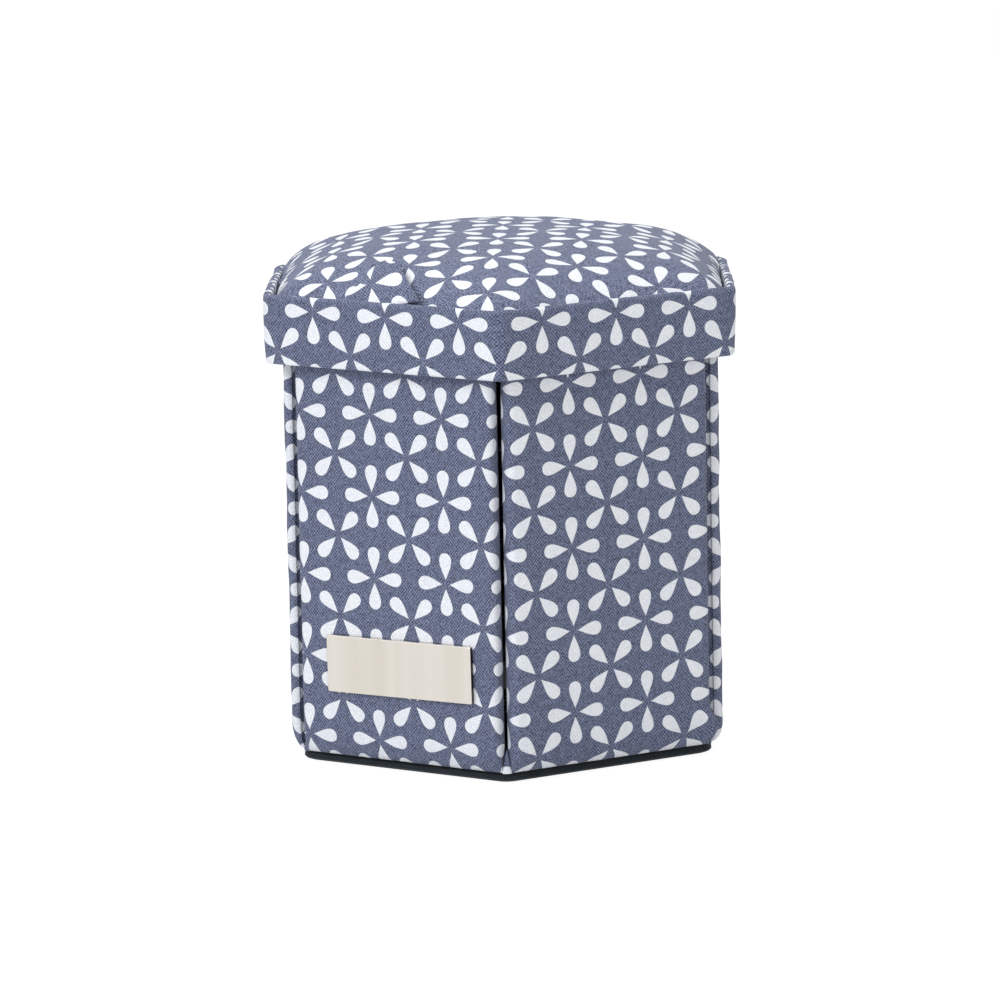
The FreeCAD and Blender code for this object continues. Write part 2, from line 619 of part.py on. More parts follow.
def lid_rim_cover():
    """Printed cotton over the rim card: outside, both edges and turned in up to the lid board."""
    ring = hexagon_ring(RIM_INNER, RIM_OUTER, RIM_CORNER_RADIUS, RIM_FOOT, RIM_TOP)
    ring = ring.makeFillet(RIM_EDGE_RADIUS, level_edges(ring, RIM_FOOT))
    crest = [e for e in level_edges(ring, RIM_TOP) if reach(e) > (CARD_INNER + CARD_OUTER) / 2]
    ring = ring.makeFillet(RIM_EDGE_RADIUS, crest)
    above = hexagon_plate(CARD_INNER, RIM_CORNER_RADIUS / 2, LID_BOARD_Z, RIM_TOP)
    return ring.cut(lid_rim()).cut(above)


def reach(edge):
    """Distance of an edge's middle from the Z axis, measured across the flats."""
    middle = edge.valueAt((edge.FirstParameter + edge.LastParameter) / 2)
    return max(abs(middle.x * math.cos(math.radians(a)) + middle.y * math.sin(math.radians(a)))
               for a in FLAP_FACING.values())


def lid_board():
    return hexagon_plate(CARD_INNER, RIM_CORNER_RADIUS / 2, LID_BOARD_Z, CUSHION_Z)


def lid_lining():
    lining = hexagon_plate(RIM_INNER - LID_LINING_GAP, RIM_CORNER_RADIUS, LID_LINING_Z, LID_BOARD_Z)
    return lining.makeFillet(LID_LINING_THICKNESS / 2, level_edges(lining, LID_LINING_Z))


def cushion_form(inset):
    """Crowned cushion: sides that draw in at the board and a dome with soft shoulders."""
    wide = CUSHION_APOTHEM - inset
    foot = hexagon(wide - CUSHION_DRAW_IN, CUSHION_CORNER_RADIUS, CUSHION_Z)
    sections = [foot]
    for share in CUSHION_STATIONS:
        apothem = wide * share
        corner = CUSHION_CORNER_RADIUS * share + (1 - share) * CUSHION_ROUNDNESS * apothem
        rise = (1 - share ** CUSHION_FLATNESS) ** (1 / CUSHION_SHOULDER)
        sections.append(hexagon(apothem, corner, DOME_Z + rise * CUSHION_CROWN - inset))
    return Part.makeLoft(sections, True, False)


def cushion_pad():
    return cushion_form(CUSHION_COTTON)


def cushion_cover():
    """Printed cotton drawn over the pad and down to the board."""
    return cushion_form(0.0).cut(cushion_pad())


def flap_pieces():
    """Boards, covers, linings and the notions that each flap carries."""
    pieces = {}
    board = flap_board()
    cover = flap_cover()
    lining = flap_lining()
    core = reel_core()
    thread = reel_thread()
    band = reel_band()
    for flap in FLAP_FACING:
        pieces["flap_%s_board" % flap] = facing(board, flap)
        pieces["flap_%s_cover" % flap] = facing(cover, flap)
        pieces["flap_%s_lining" % flap] = facing(lining, flap)
    for flap in REEL_FLAPS:
        pieces["flap_%s_band" % flap] = facing(band, flap)
        pieces["reel_%s_core" % flap] = facing(core, flap)
        pieces["reel_%s_thread" % flap] = facing(thread, flap)
    pieces["flap_right_pocket"] = facing(pocket(CARD_WIDTH, needle_stack()), "right")
    pieces["needle_card"] = facing(needle_card(), "right")
    pieces["needles"] = facing(needles(), "right")
    pieces["flap_left_pocket"] = facing(pocket(MEASURE_WIDTH, MEASURE_THICKNESS + 2 * NOTION_GAP), "left")
    pieces["tape_measure"] = facing(tape_measure(), "left")
    pieces["name_plate"] = name_plate()
    pieces["plate_tape"] = plate_tape()
    return pieces


def base_pieces():
    return {
        "base_sole": base_sole(),
        "base_board": base_board(),
        "base_lining": base_lining(),
        "hinge_tapes": hinge_tapes(),
        "scissors_blade_lower": scissors_blade(-1, LOWER_PLATE_Z),
        "scissors_grip_lower": scissors_grip(-1, LOWER_PLATE_Z, 0.0),
        "scissors_blade_upper": scissors_blade(1, UPPER_PLATE_Z),
        "scissors_grip_upper": scissors_grip(1, UPPER_PLATE_Z, NOTION_GAP),
        "scissors_rivet": scissors_rivet(),
        "scissors_keeper": scissors_keeper(),
        "thimble": thimble(),
        "thimble_ring": thimble_ring(),
    }


def lid_pieces():
    return {
        "lid_rim": lid_rim(),
        "lid_rim_cover": lid_rim_cover(),
        "lid_board": lid_board(),
        "lid_lining": lid_lining(),
        "cushion_pad": cushion_pad(),
        "cushion_cover": cushion_cover(),
    }


def main():
    os.makedirs("parts", exist_ok=True)
    pieces = {**base_pieces(), **flap_pieces(), **lid_pieces()}
    for node, shape in pieces.items():
        if not shape.isValid():
            raise ValueError("%s is not a valid solid" % node)
        shape.exportStep("parts/%s.step" % node)
        print(node, len(shape.Solids), "%.1f" % shape.Volume)


if __name__ == "__main__":
    main()
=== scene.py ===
"""Sewing kit in printed cotton: a six-sided fold-out box under a pincushion lid.

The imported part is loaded, its soft solids give way to modelled cloth, every piece is dressed, and the
camera and the studio are set up. Lengths are in millimetres until a mesh is made.
"""

from __future__ import annotations

import logging
import math
from dataclasses import dataclass
from enum import Enum

import bpy
import numpy as np
from mathutils import Matrix, Vector

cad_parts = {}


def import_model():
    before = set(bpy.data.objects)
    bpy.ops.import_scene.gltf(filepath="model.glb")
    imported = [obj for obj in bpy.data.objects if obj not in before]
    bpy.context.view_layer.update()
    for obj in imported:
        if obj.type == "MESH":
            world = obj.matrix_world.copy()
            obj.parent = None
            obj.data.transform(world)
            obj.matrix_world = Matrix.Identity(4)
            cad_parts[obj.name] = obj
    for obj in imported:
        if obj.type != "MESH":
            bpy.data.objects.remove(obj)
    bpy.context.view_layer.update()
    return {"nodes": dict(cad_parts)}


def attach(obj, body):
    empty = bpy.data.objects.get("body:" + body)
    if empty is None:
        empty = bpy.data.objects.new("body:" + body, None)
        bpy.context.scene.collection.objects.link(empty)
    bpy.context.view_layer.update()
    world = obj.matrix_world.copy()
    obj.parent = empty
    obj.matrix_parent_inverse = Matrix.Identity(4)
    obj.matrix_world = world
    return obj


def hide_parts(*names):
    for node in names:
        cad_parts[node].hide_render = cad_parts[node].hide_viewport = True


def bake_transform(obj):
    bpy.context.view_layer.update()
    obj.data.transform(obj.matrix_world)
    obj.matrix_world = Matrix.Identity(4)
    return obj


log = logging.getLogger("sewing_kit")

Array = np.ndarray
Piece = bpy.types.Object
Tree = bpy.types.NodeTree
Term = "Value | float"

MM = 0.001
TURN = 2 * math.pi
CLOTH = "cloth"  # the UV map with each cloth's own flat coordinates, in millimetres
FLOWER_PITCH = 18.5
NOISE, MIX, BUMP, SPLIT = "ShaderNodeTexNoise", "ShaderNodeMix", "ShaderNodeBump", "ShaderNodeSeparateXYZ"
SHARE, FIRST, SECOND, BLEND = 0, 6, 7, 2  # the Mix node's colour sockets and its output

# Places that the cloth shares with the part
FLAP_INNER, FLAP_OUTER = 43.994, 48.344
FLAP_FOOT, FLAP_TOP = 3.05, 96.05
BASE_APOTHEM, BASE_BOARD_Z, FLOOR_Z = 43.194, 2.8, 6.0
SOLE_APOTHEM, SOLE_TOP = 45.794, 2.2
RIM_INNER, RIM_OUTER = 50.004, 52.004
RIM_FOOT, RIM_TOP = 91.05, 106.45
LID_LINING_LOW, LID_BOARD_LOW, CUSHION_LOW = 96.35, 97.85, 100.35
DOME_EDGE, DOME_RISE, DOME_APOTHEM = 104.45, 11.75, 49.7
REEL_AXIS, REEL_LOW, REEL_HIGH, REEL_FLANGE = 33.194, 28.0, 74.0, 2.0
THREAD_RADIUS = 9.3
BAND_RADIUS, BAND_THICKNESS, BAND_LOW, BAND_HEIGHT, BAND_FOOT = 10.0, 0.8, 44.0, 14.0, 4.0
POCKET_LOW, POCKET_HEIGHT, POCKET_SEAM, POCKET_COTTON = 12.0, 42.0, 1.6, 0.8
THIMBLE_X, THIMBLE_Y = 25.994, 8.0
SHANK_ANGLE, KEEPER_REACH = 18.68, 15.0


def linear(code: str) -> tuple[float, float, float, float]:
    """Turns an sRGB hex colour into the linear one that shaders work in.

    Args:
        code: Six hex digits.

    Returns:
        Red, green, blue and an alpha of 1.
    """
    parts = [int(code[i : i + 2], 16) / 255 for i in (0, 2, 4)]
    return (*(c / 12.92 if c <= 0.04045 else ((c + 0.055) / 1.055) ** 2.4 for c in parts), 1.0)


def add(
    tree: Tree, kind: str, inputs: dict | None = None, out: int | str = 0, **settings: object
) -> Value | None:
    """Adds a node to a tree with its settings, values and links.

    Args:
        tree: The node tree.
        kind: The node's class name.
        inputs: Socket names or numbers, with what to set or link on each.
        out: The output that is wanted.
        settings: The node's own properties.

    Returns:
        The value at that output, or None for a node without outputs.
    """
    node = tree.nodes.new(kind)
    for key, value in settings.items():
        setattr(node, key, value)
    for key, value in (inputs or {}).items():
        if isinstance(value, Value):
            tree.links.new(value.socket, node.inputs[key])
        else:
            node.inputs[key].default_value = value
    return Value(tree, node.outputs[out]) if node.outputs else None


class Value:
    """A value in a shader, on which plain arithmetic becomes Math nodes."""

    def __init__(self, tree: Tree, socket: bpy.types.NodeSocket) -> None:
        """Keeps the tree and the socket that carries the value."""
        self.tree, self.socket = tree, socket

    def part(self, key: int | str) -> Value:
        """Gives another output of the same node."""
        return Value(self.tree, self.socket.node.outputs[key])

    def math(self, operation: str, *others: Term) -> Value:
        """Gives the outcome of one operation on this value and others."""
        return add(self.tree, "ShaderNodeMath", dict(enumerate((self, *others))), operation=operation)

    def __add__(self, other: Term) -> Value:
        """Adds a value."""
        return self.math("ADD", other)

    def __sub__(self, other: Term) -> Value:
        """Takes a value away."""
        return self.math("SUBTRACT", other)

    def __mul__(self, other: Term) -> Value:
        """Multiplies by a value."""
        return self.math("MULTIPLY", other)

    def __truediv__(self, other: Term) -> Value:
        """Divides by a value."""
        return self.math("DIVIDE", other)

    def wrapped(self, reach: float) -> Value:
        """Brings the value into the span from -reach to reach."""
        return self.math("WRAP", reach, -reach)

    def held(self) -> Value:
        """Holds the value between 0 and 1."""
        return self.math("MAXIMUM", 0.0).math("MINIMUM", 1.0)


def cloth_place(tree: Tree) -> tuple[Value, Value, Value]:
    """Finds the cloth's flat place.

    Args:
        tree: The material's node tree.

    Returns:
        The place as a vector, and its two lengths.
    """
    place = add(tree, "ShaderNodeUVMap", uv_map=CLOTH)
    u = add(tree, SPLIT, {0: place})
    return place, u, u.part(1)


class Flower(Enum):
    """The two ways that the print's four-petal flower stands."""

    UPRIGHT = 0
    TURNED = 1


class Plane(Enum):
    """How a strip's line lies: the axes of the line, then the axis of the strip's width."""

    LEVEL = (0, 1, 2)
    UPRIGHT = (0, 2, 1)


@dataclass(frozen=True)
class Finish:
    """A surface with a name; it is made once and shared."""

    name: str

    def material(self) -> bpy.types.Material:
        """Gives the Blender material, made on the first call.

        Returns:
            The material.
        """
        made = bpy.data.materials.get(self.name)
        if made is None:
            made = bpy.data.materials.new(self.name)
            made.use_nodes = True
            made.node_tree.nodes.clear()
            shader = add(made.node_tree, "ShaderNodeBsdfPrincipled", self.sockets(made.node_tree))
            add(made.node_tree, "ShaderNodeOutputMaterial", {"Surface": shader})
        return made

    def sockets(self, tree: Tree) -> dict:
        """Gives what the surface sets on the Principled shader, by socket name."""
        raise NotImplementedError


@dataclass(frozen=True)
class PrintedCotton(Finish):
    """Slate canvas with white four-petal flowers, upright and turned by turns."""

    shade: str
    light: str
    ink: str
    ink_shade: str
    slub: float = 0.0  # how long the slubs are drawn; 0 for none
    petal_start: float = 0.8
    petal_end: float = 7.05
    petal_half: float = 1.6
    petal_power: float = 1.15
    petal_scale: float = 2.103  # brings the petal outline's widest place to 1
    ink_edge: float = 0.12
    warp: float = 0.71  # a wave over two threads, one up and one down
    weft: float = 0.85
    waver: tuple[float, float] = (0.5, 0.6)  # how far warp and weft stray
    weave_tone: tuple[float, float] = (0.57, 0.7)  # the weave's contrast, overall and by flecks
    fleck_tone: float = 1.6
    cloud_tone: float = 0.8
    slub_tone: float = 1.5

    def flowers(self, u: Value, v: Value, kind: Flower) -> Value:
        """Draws one kind of flower.

        Args:
            u: The place along the cloth.
            v: The place up the cloth.
            kind: How the flower stands.

        Returns:
            1 inside the petals and 0 outside.
        """
        half_pitch = FLOWER_PITCH / 2
        a, b = ((c - kind.value * half_pitch).wrapped(half_pitch) for c in (u, v))
        if kind is Flower.TURNED:
            a, b = (a + b) * math.sqrt(0.5), (b - a) * math.sqrt(0.5)
        a, b = a.math("ABSOLUTE"), b.math("ABSOLUTE")
        along, across = a.math("MAXIMUM", b), a.math("MINIMUM", b)
        share = ((along - self.petal_start) / (self.petal_end - self.petal_start)).held()
        half = share.math("POWER", self.petal_power) * (share * share * -1.0 + 1.0).math("SQRT")
        return ((half * (self.petal_scale * self.petal_half) - across) / self.ink_edge).held()

    def sockets(self, tree: Tree) -> dict:
        """Weaves uneven threads and lays the print over them.

        Args:
            tree: The material's node tree.

        Returns:
            What is set on the shader, by socket name.
        """
        place, u, v = cloth_place(tree)
        # patches to the millimetre and their detail
        slub_u, slub_v, cloud, fleck = (
            add(tree, NOISE, {"Vector": place, "Scale": scale, "Detail": detail}) - 0.5
            for scale, detail in ((0.9, 2.0), (1.3, 2.0), (0.8, 2.0), (2.4, 1.0)))
        warp = ((u + slub_v * self.waver[0]) * (TURN / self.warp)).math("SINE")
        weft = ((v + slub_u * self.waver[1]) * (TURN / self.weft)).math("SINE")
        weave = warp * weft
        overall, flecked = self.weave_tone
        tone = weave * (fleck * flecked + overall) + fleck * self.fleck_tone + cloud * self.cloud_tone + 0.5
        if self.slub:
            drawn = add(tree, "ShaderNodeMapping", {"Vector": place, "Scale": (1.0, 1 / self.slub, 1.0)})
            streak = add(tree, NOISE, {"Vector": drawn, "Scale": 2.6, "Detail": 1.0})
            tone = tone + (streak - 0.5) * self.slub_tone
        tone = tone.held()
        ground, ink = (
            add(tree, MIX, {SHARE: tone, FIRST: linear(low), SECOND: linear(high)}, BLEND, data_type="RGBA")
            for low, high in ((self.shade, self.light), (self.ink_shade, self.ink)))
        upright, turned = (self.flowers(u, v, kind) for kind in Flower)
        tones = {SHARE: upright.math("MAXIMUM", turned), FIRST: ground, SECOND: ink}
        return {
            "Base Color": add(tree, MIX, tones, BLEND, data_type="RGBA"),
            "Roughness": 0.85,
            "Specular IOR Level": 0.25,
            "Sheen Weight": 0.12,
            "Normal": add(tree, BUMP, {"Height": weave, "Distance": 0.06 * MM, "Strength": 0.6}),
        }


@dataclass(frozen=True)
class TwoTone(Finish):
    """A surface whose colour wavers between two tones with its own fine relief."""

    colour: str
    shade: str
    rough: float
    shine: float
    sheen: float
    depth: float
    relief: float

    def grain(self, tree: Tree) -> tuple[Value, Value]:
        """Gives the share of the main colour and the height of the relief."""
        raise NotImplementedError

    def sockets(self, tree: Tree) -> dict:
        """Mixes the tones and raises the relief.

        Args:
            tree: The material's node tree.

        Returns:
            What is set on the shader, by socket name.
        """
        tone, height = self.grain(tree)
        tones = {SHARE: tone, FIRST: linear(self.shade), SECOND: linear(self.colour)}
        relief = {"Height": height, "Distance": self.depth * MM, "Strength": self.relief}
        return {
            "Base Color": add(tree, MIX, tones, BLEND, data_type="RGBA"),
            "Roughness": self.rough,
            "Specular IOR Level": self.shine,
            "Sheen Weight": self.sheen,
            "Normal": add(tree, BUMP, relief),
        }


@dataclass(frozen=True)
class PlainCotton(TwoTone):
    """One-colour plain weave: matt, with a fine grid of threads."""

    rough: float = 0.88
    shine: float = 0.25
    sheen: float = 0.08
    depth: float = 0.06
    relief: float = 0.6
    pitch: float = 0.7  # a wave over two threads

    def grain(self, tree: Tree) -> tuple[Value, Value]:
        """Weaves the threads.

        Args:
            tree: The material's node tree.

        Returns:
            The tone and the height.
        """
        place, u, v = cloth_place(tree)
        weave = (u * (TURN / self.pitch)).math("SINE") * (v * (TURN / self.pitch)).math("SINE")
        cloud = add(tree, NOISE, {"Vector": place, "Scale": 1.2, "Detail": 2.0})
        return (weave * 0.25 + cloud * 0.8 + 0.1).held(), weave


@dataclass(frozen=True)
class Fibre(TwoTone):
    """Pressed fibres, as in felt and paper board: dull, with a fine uneven nap."""

    rough: float = 0.8
    shine: float = 0.3
    sheen: float = 0.0
    depth: float = 0.03
    relief: float = 0.3
    patches: float = 900.0  # to the metre, far coarser than fibres so that they show

    def grain(self, tree: Tree) -> tuple[Value, Value]:
        """Spreads the fibres, whose tone and height are the same."""
        place = add(tree, "ShaderNodeTexCoord", out="Object")
        return (add(tree, NOISE, {"Vector": place, "Scale": self.patches, "Detail": 4.0}),) * 2


@dataclass(frozen=True)
class Thread(TwoTone):
    """Sewing thread: a silky sheen across fine twisted strands."""

    rough: float = 0.55
    shine: float = 0.4
    sheen: float = 0.15
    depth: float = 0.03
    relief: float = 0.5
    twist: float = 0.9  # the length in which three strands turn once

    def grain(self, tree: Tree) -> tuple[Value, Value]:
        """Twists the strands.

        Args:
            tree: The material's node tree.

        Returns:
            The tone and the height.
        """
        _, u, v = cloth_place(tree)
        twist = ((u * 3.0 + v * 1.5) * (TURN / self.twist)).math("SINE")
        return (twist * 0.35 + 0.6).held(), twist


@dataclass(frozen=True)
class BrushedMetal(Finish):
    """Metal with fine brushing: a soft, slightly streaked reflection."""

    colour: str
    gloss: float
    streak: tuple[float, float, float] = (60.0, 60.0, 2600.0)

    def sockets(self, tree: Tree) -> dict:
        """Draws the brushing out into streaks.

        Args:
            tree: The material's node tree.

        Returns:
            What is set on the shader, by socket name.
        """
        place = add(tree, "ShaderNodeTexCoord", out="Object")
        drawn = add(tree, "ShaderNodeMapping", {"Vector": place, "Scale": self.streak})
        grain = add(tree, NOISE, {"Vector": drawn, "Scale": 1.0, "Detail": 3.0})
        return {
            "Base Color": linear(self.colour),
            "Metallic": 1.0,
            "Roughness": grain * 0.12 + (self.gloss - 0.06),
            "Normal": add(tree, BUMP, {"Height": grain, "Distance": 0.01 * MM, "Strength": 0.25}),
        }


@dataclass(frozen=True)
class PlateMetal(BrushedMetal):
    """Brushed plate with painted reflection in broad upright stripes on its face and painted shade on its
    side towards the front corner.
    """

    # the darker tone of the painted reflection stripes
    shade: str = "d6d0c6"
    # painted shade on the side that faces away from the light
    side: str = "4a4541"
    shaded_side_facing: float = -30.0
    reflection_bands: tuple[float, float, float] = (190.0, 190.0, 3.0)

    def sockets(self, tree: Tree) -> dict:
        """Adds painted reflection in broad upright stripes, and painted shade on the side towards the front
        corner, to the brushing.

        Args:
            tree: The material's node tree.

        Returns:
            What is set on the shader, by socket name.
        """
        made = super().sockets(tree)
        world = add(tree, "ShaderNodeNewGeometry", out="True Normal")
        spaces = {"vector_type": "NORMAL", "convert_from": "WORLD", "convert_to": "OBJECT"}
        x = add(tree, SPLIT, {0: add(tree, "ShaderNodeVectorTransform", {0: world}, **spaces)})
        # painted shade: the side that faces towards the front corner is mixed towards the dark colour
        a = math.radians(self.shaded_side_facing)
        cut = ((x * math.cos(a) + x.part(1) * math.sin(a) - 0.75) / 0.1).held()
        # painted reflection: broad upright stripes between the two tones of the face
        place = add(tree, "ShaderNodeTexCoord", out="Object")
        drawn = add(tree, "ShaderNodeMapping", {"Vector": place, "Scale": self.reflection_bands})
        band = ((add(tree, NOISE, {"Vector": drawn, "Scale": 1.0, "Detail": 1.0}) - 0.35) * 3.0).held()
        tones = {SHARE: band, FIRST: linear(self.shade), SECOND: linear(self.colour)}
        face = add(tree, MIX, tones, BLEND, data_type="RGBA")
        # painted shade laid over the side
        sides = {SHARE: cut, FIRST: face, SECOND: linear(self.side)}
        made["Base Color"] = add(tree, MIX, sides, BLEND, data_type="RGBA")
        return made


@dataclass(frozen=True)
class DimpledSteel(Finish):
    """Thimble steel: polished, with staggered rows of dimples round it."""

    colour: str
    rows_mm: float = 1.55
    count: int = 30
    last_row: float = 10.5
    dimple: float = 0.36

    def sockets(self, tree: Tree) -> dict:
        """Presses the dimples.

        Args:
            tree: The material's node tree.

        Returns:
            What is set on the shader, by socket name.
        """
        x = add(tree, SPLIT, {0: add(tree, "ShaderNodeTexCoord", out="Object")})
        row = (x.part(2) - FLOOR_Z * MM) / (self.rows_mm * MM)
        turn = (x.part(1) - THIMBLE_Y * MM).math("ARCTAN2", x - THIMBLE_X * MM) * (self.count / TURN)
        side = (turn + row.math("FLOOR") * 0.5).wrapped(0.5)
        rise = (row - row.math("FLOOR")) - 0.5
        away = (side * side + rise * rise).math("SQRT")
        in_field = (row - 1.0).held() * ((row * -1.0) + self.last_row).held()
        height = ((away / self.dimple).math("MINIMUM", 1.0) - 1.0) * in_field
        return {
            "Base Color": linear(self.colour),
            "Metallic": 1.0,
            "Roughness": 0.22,
            "Normal": add(tree, BUMP, {"Height": height, "Distance": 0.25 * MM, "Strength": 0.9}),
        }


@dataclass(frozen=True)
class Plastic(Finish):
    """Moulded plastic with a quiet shine."""

    colour: str
    gloss: float = 0.38

    def sockets(self, tree: Tree) -> dict:
        """Gives one colour and a gloss."""
        return {"Base Color": linear(self.colour), "Roughness": self.gloss, "Specular IOR Level": 0.45}


@dataclass(frozen=True)
class MeasuringTape(Finish):
    """Yellow coated ribbon with dark marks at 1, 5 and 10 millimetres along one edge."""

    colour: str
    mark: str
    half_width: float = 8.0
    half_line: float = 0.13
    blur: float = 0.05

    def sockets(self, tree: Tree) -> dict:
        """Rules the marks.

        Args:
            tree: The material's node tree.

        Returns:
            What is set on the shader, by socket name.
        """
        _, u, v = cloth_place(tree)
        marks = None
        for pitch, length in ((1.0, 2.2), (5.0, 3.4), (10.0, 5.2)):
            line = ((u.wrapped(pitch / 2).math("ABSOLUTE") * -1.0 + self.half_line) / self.blur).held()
            rule = line * ((v * -1.0 - (self.half_width - length)) / self.blur).held()
            marks = rule if marks is None else marks.math("MAXIMUM", rule)
        tones = {SHARE: marks, FIRST: linear(self.colour), SECOND: linear(self.mark)}
        return {
            "Base Color": add(tree, MIX, tones, BLEND, data_type="RGBA"),
            "Roughness": 0.5,
            "Specular IOR Level": 0.4,
        }


# matt slate cloth with bright flowers, flecked by its uneven threads: the look of the whole box
PRINT = PrintedCotton("printed cotton canvas", "363b52", "868ea9", "fbfcfe", "dfe3eb")
# the same cloth painted a little lighter, as painted light for the sheen that the crown shows at its flat
# angle, with its slubs drawn long so that they show at that angle
PAINTED_LIGHT_CROWN = PrintedCotton("printed cotton canvas on the crown", "3b4058", "8c94af", "fbfcfe", "e4e8ef", 3.0)
# quiet matt cloths inside, and a pale one with a coarser rib
LINING = PlainCotton("slate lining cotton", "6f7790", "565d74")
POCKET = PlainCotton("grey pocket cotton", "a3a9ba", "8b92a6")
ELASTIC = PlainCotton("ribbed elastic", "d8d8d3", "b4b5b3", pitch=0.9)
# nearly black and without gloss; its soft nap catches light at the edge
SOLE = Fibre("dark sole felt", "2c363c", "151b20", 0.95, 0.15, 0.2, 0.15, 0.6, 1400.0)
# dull paper with faint fibres
BOARD = Fibre("grey board", "9a968d", "7f7b73")
NEEDLE_CARD = Fibre("cream needle card", "efe6cf", "e2d7bc")
# a pale warm metal that mirrors the white room softly
NICKEL = PlateMetal("brushed nickel", "e0dbd3", 0.3)
# bright steels: ground along the blades, drawn fine on the needles, polished between the dimples
STEEL = BrushedMetal("scissors steel", "c9cccf", 0.26, (900.0, 40.0, 900.0))
NEEDLE_STEEL = BrushedMetal("needle steel", "d4d6d9", 0.2)
THIMBLE = DimpledSteel("dimpled thimble steel", "cfd1d4")
# moulded plastics with a quiet shine, and a dull foam
REEL = Plastic("white reel plastic", "e9e8e3")
GRIP = Plastic("navy grip plastic", "2b3550", 0.34)
FOAM = Plastic("foam tape", "e5e3dc", 0.7)
# a strong yellow that shows the marks
MEASURE = MeasuringTape("measuring tape ribbon", "e8bd3f", "2a2620")
# a pale silky line on the grey cloth
STITCH = Thread("stitching thread", "dfe1e6", "b9bcc6")


def paired(first: Array, second: Array) -> Array:
    """Gives two sets of numbers as one set of places, spread over each other."""
    return np.stack(np.broadcast_arrays(first, second), -1)


def level(ring: Array, z: float) -> Array:
    """Gives a flat outline at a height."""
    return np.column_stack([ring, np.full(len(ring), z)])


def lengths(points: Array, closed: bool = False) -> Array:
    """Gives the distance along a line of points.

    Args:
        points: The points, one row each.
        closed: Whether the way back to the first is added.

    Returns:
        One distance for each point, from 0.
    """
    if closed:
        points = np.concatenate([points, points[:1]])
    return np.concatenate([[0.0], np.cumsum(np.linalg.norm(np.diff(points, axis=0), axis=1))])


def along_line(points: Array, spots: Array) -> Array:
    """Gives the places at so many millimetres along a line of points."""
    return np.stack([np.interp(spots, lengths(points), column) for column in points.T], -1)


def sideways(path: Array) -> Array:
    """Gives the direction to the left of a line of points in a plane.

    Args:
        path: The points, one row each.

    Returns:
        One direction for each point.
    """
    way = np.gradient(path, axis=0)
    way /= np.linalg.norm(way, axis=1, keepdims=True)
    return np.stack([-way[:, 1], way[:, 0]], -1)


def rounded(corners: Array | list, radii: list, arcs: list, runs: list, closed: bool = True) -> Array:
    """Draws an outline through rounded corners.

    Args:
        corners: The corner points in order.
        radii: One radius for each corner.
        arcs: The segments in each corner's arc; 0 keeps the corner sharp.
        runs: The segments of the straight run after each corner.
        closed: Whether the last corner runs on to the first.

    Returns:
        The points, one row each, with the first not repeated.
    """
    corners = np.asarray(corners, float)
    count, bends = len(corners), []
    for i, here in enumerate(corners):
        if arcs[i] == 0 or (not closed and i in (0, count - 1)):
            bends.append(here[None])
            continue
        a, b = corners[i - 1] - here, corners[(i + 1) % count] - here
        a, b = a / np.linalg.norm(a), b / np.linalg.norm(b)
        half = math.acos(max(-1.0, min(1.0, float(a @ b)))) / 2
        middle = here + (a + b) / np.linalg.norm(a + b) * radii[i] / math.sin(half)
        start, end = (here + way * radii[i] / math.tan(half) - middle for way in (a, b))
        first = math.atan2(start[1], start[0])
        sweep = (math.atan2(end[1], end[0]) - first + math.pi) % TURN - math.pi
        angle = first + sweep * np.linspace(0, 1, arcs[i] + 1)
        bends.append(middle + radii[i] * np.stack([np.cos(angle), np.sin(angle)], -1))
    points = []
    for i in range(count):
        points.append(bends[i])
        if closed or i < count - 1:
            share = np.linspace(0, 1, runs[i] + 1)[1:-1, None]
            points.append(bends[i][-1] * (1 - share) + bends[(i + 1) % count][0] * share)
    return np.concatenate(points)


def hexagon(apothem: float, corner: float, arc: int = 6, run: int = 24) -> Array:
    """Draws a six-sided outline with rounded corners, anticlockwise from the back corner.

    Args:
        apothem: Half the width across its flats.
        corner: The corners' radius.
        arc: The segments in each corner.
        run: The segments of each side.

    Returns:
        The points, one row each.
    """
    angle = np.radians(90 + 60 * np.arange(6))
    points = np.stack([np.cos(angle), np.sin(angle)], -1) * (apothem / math.cos(math.pi / 6))
    return rounded(points, [corner] * 6, [arc] * 6, [run] * 6)


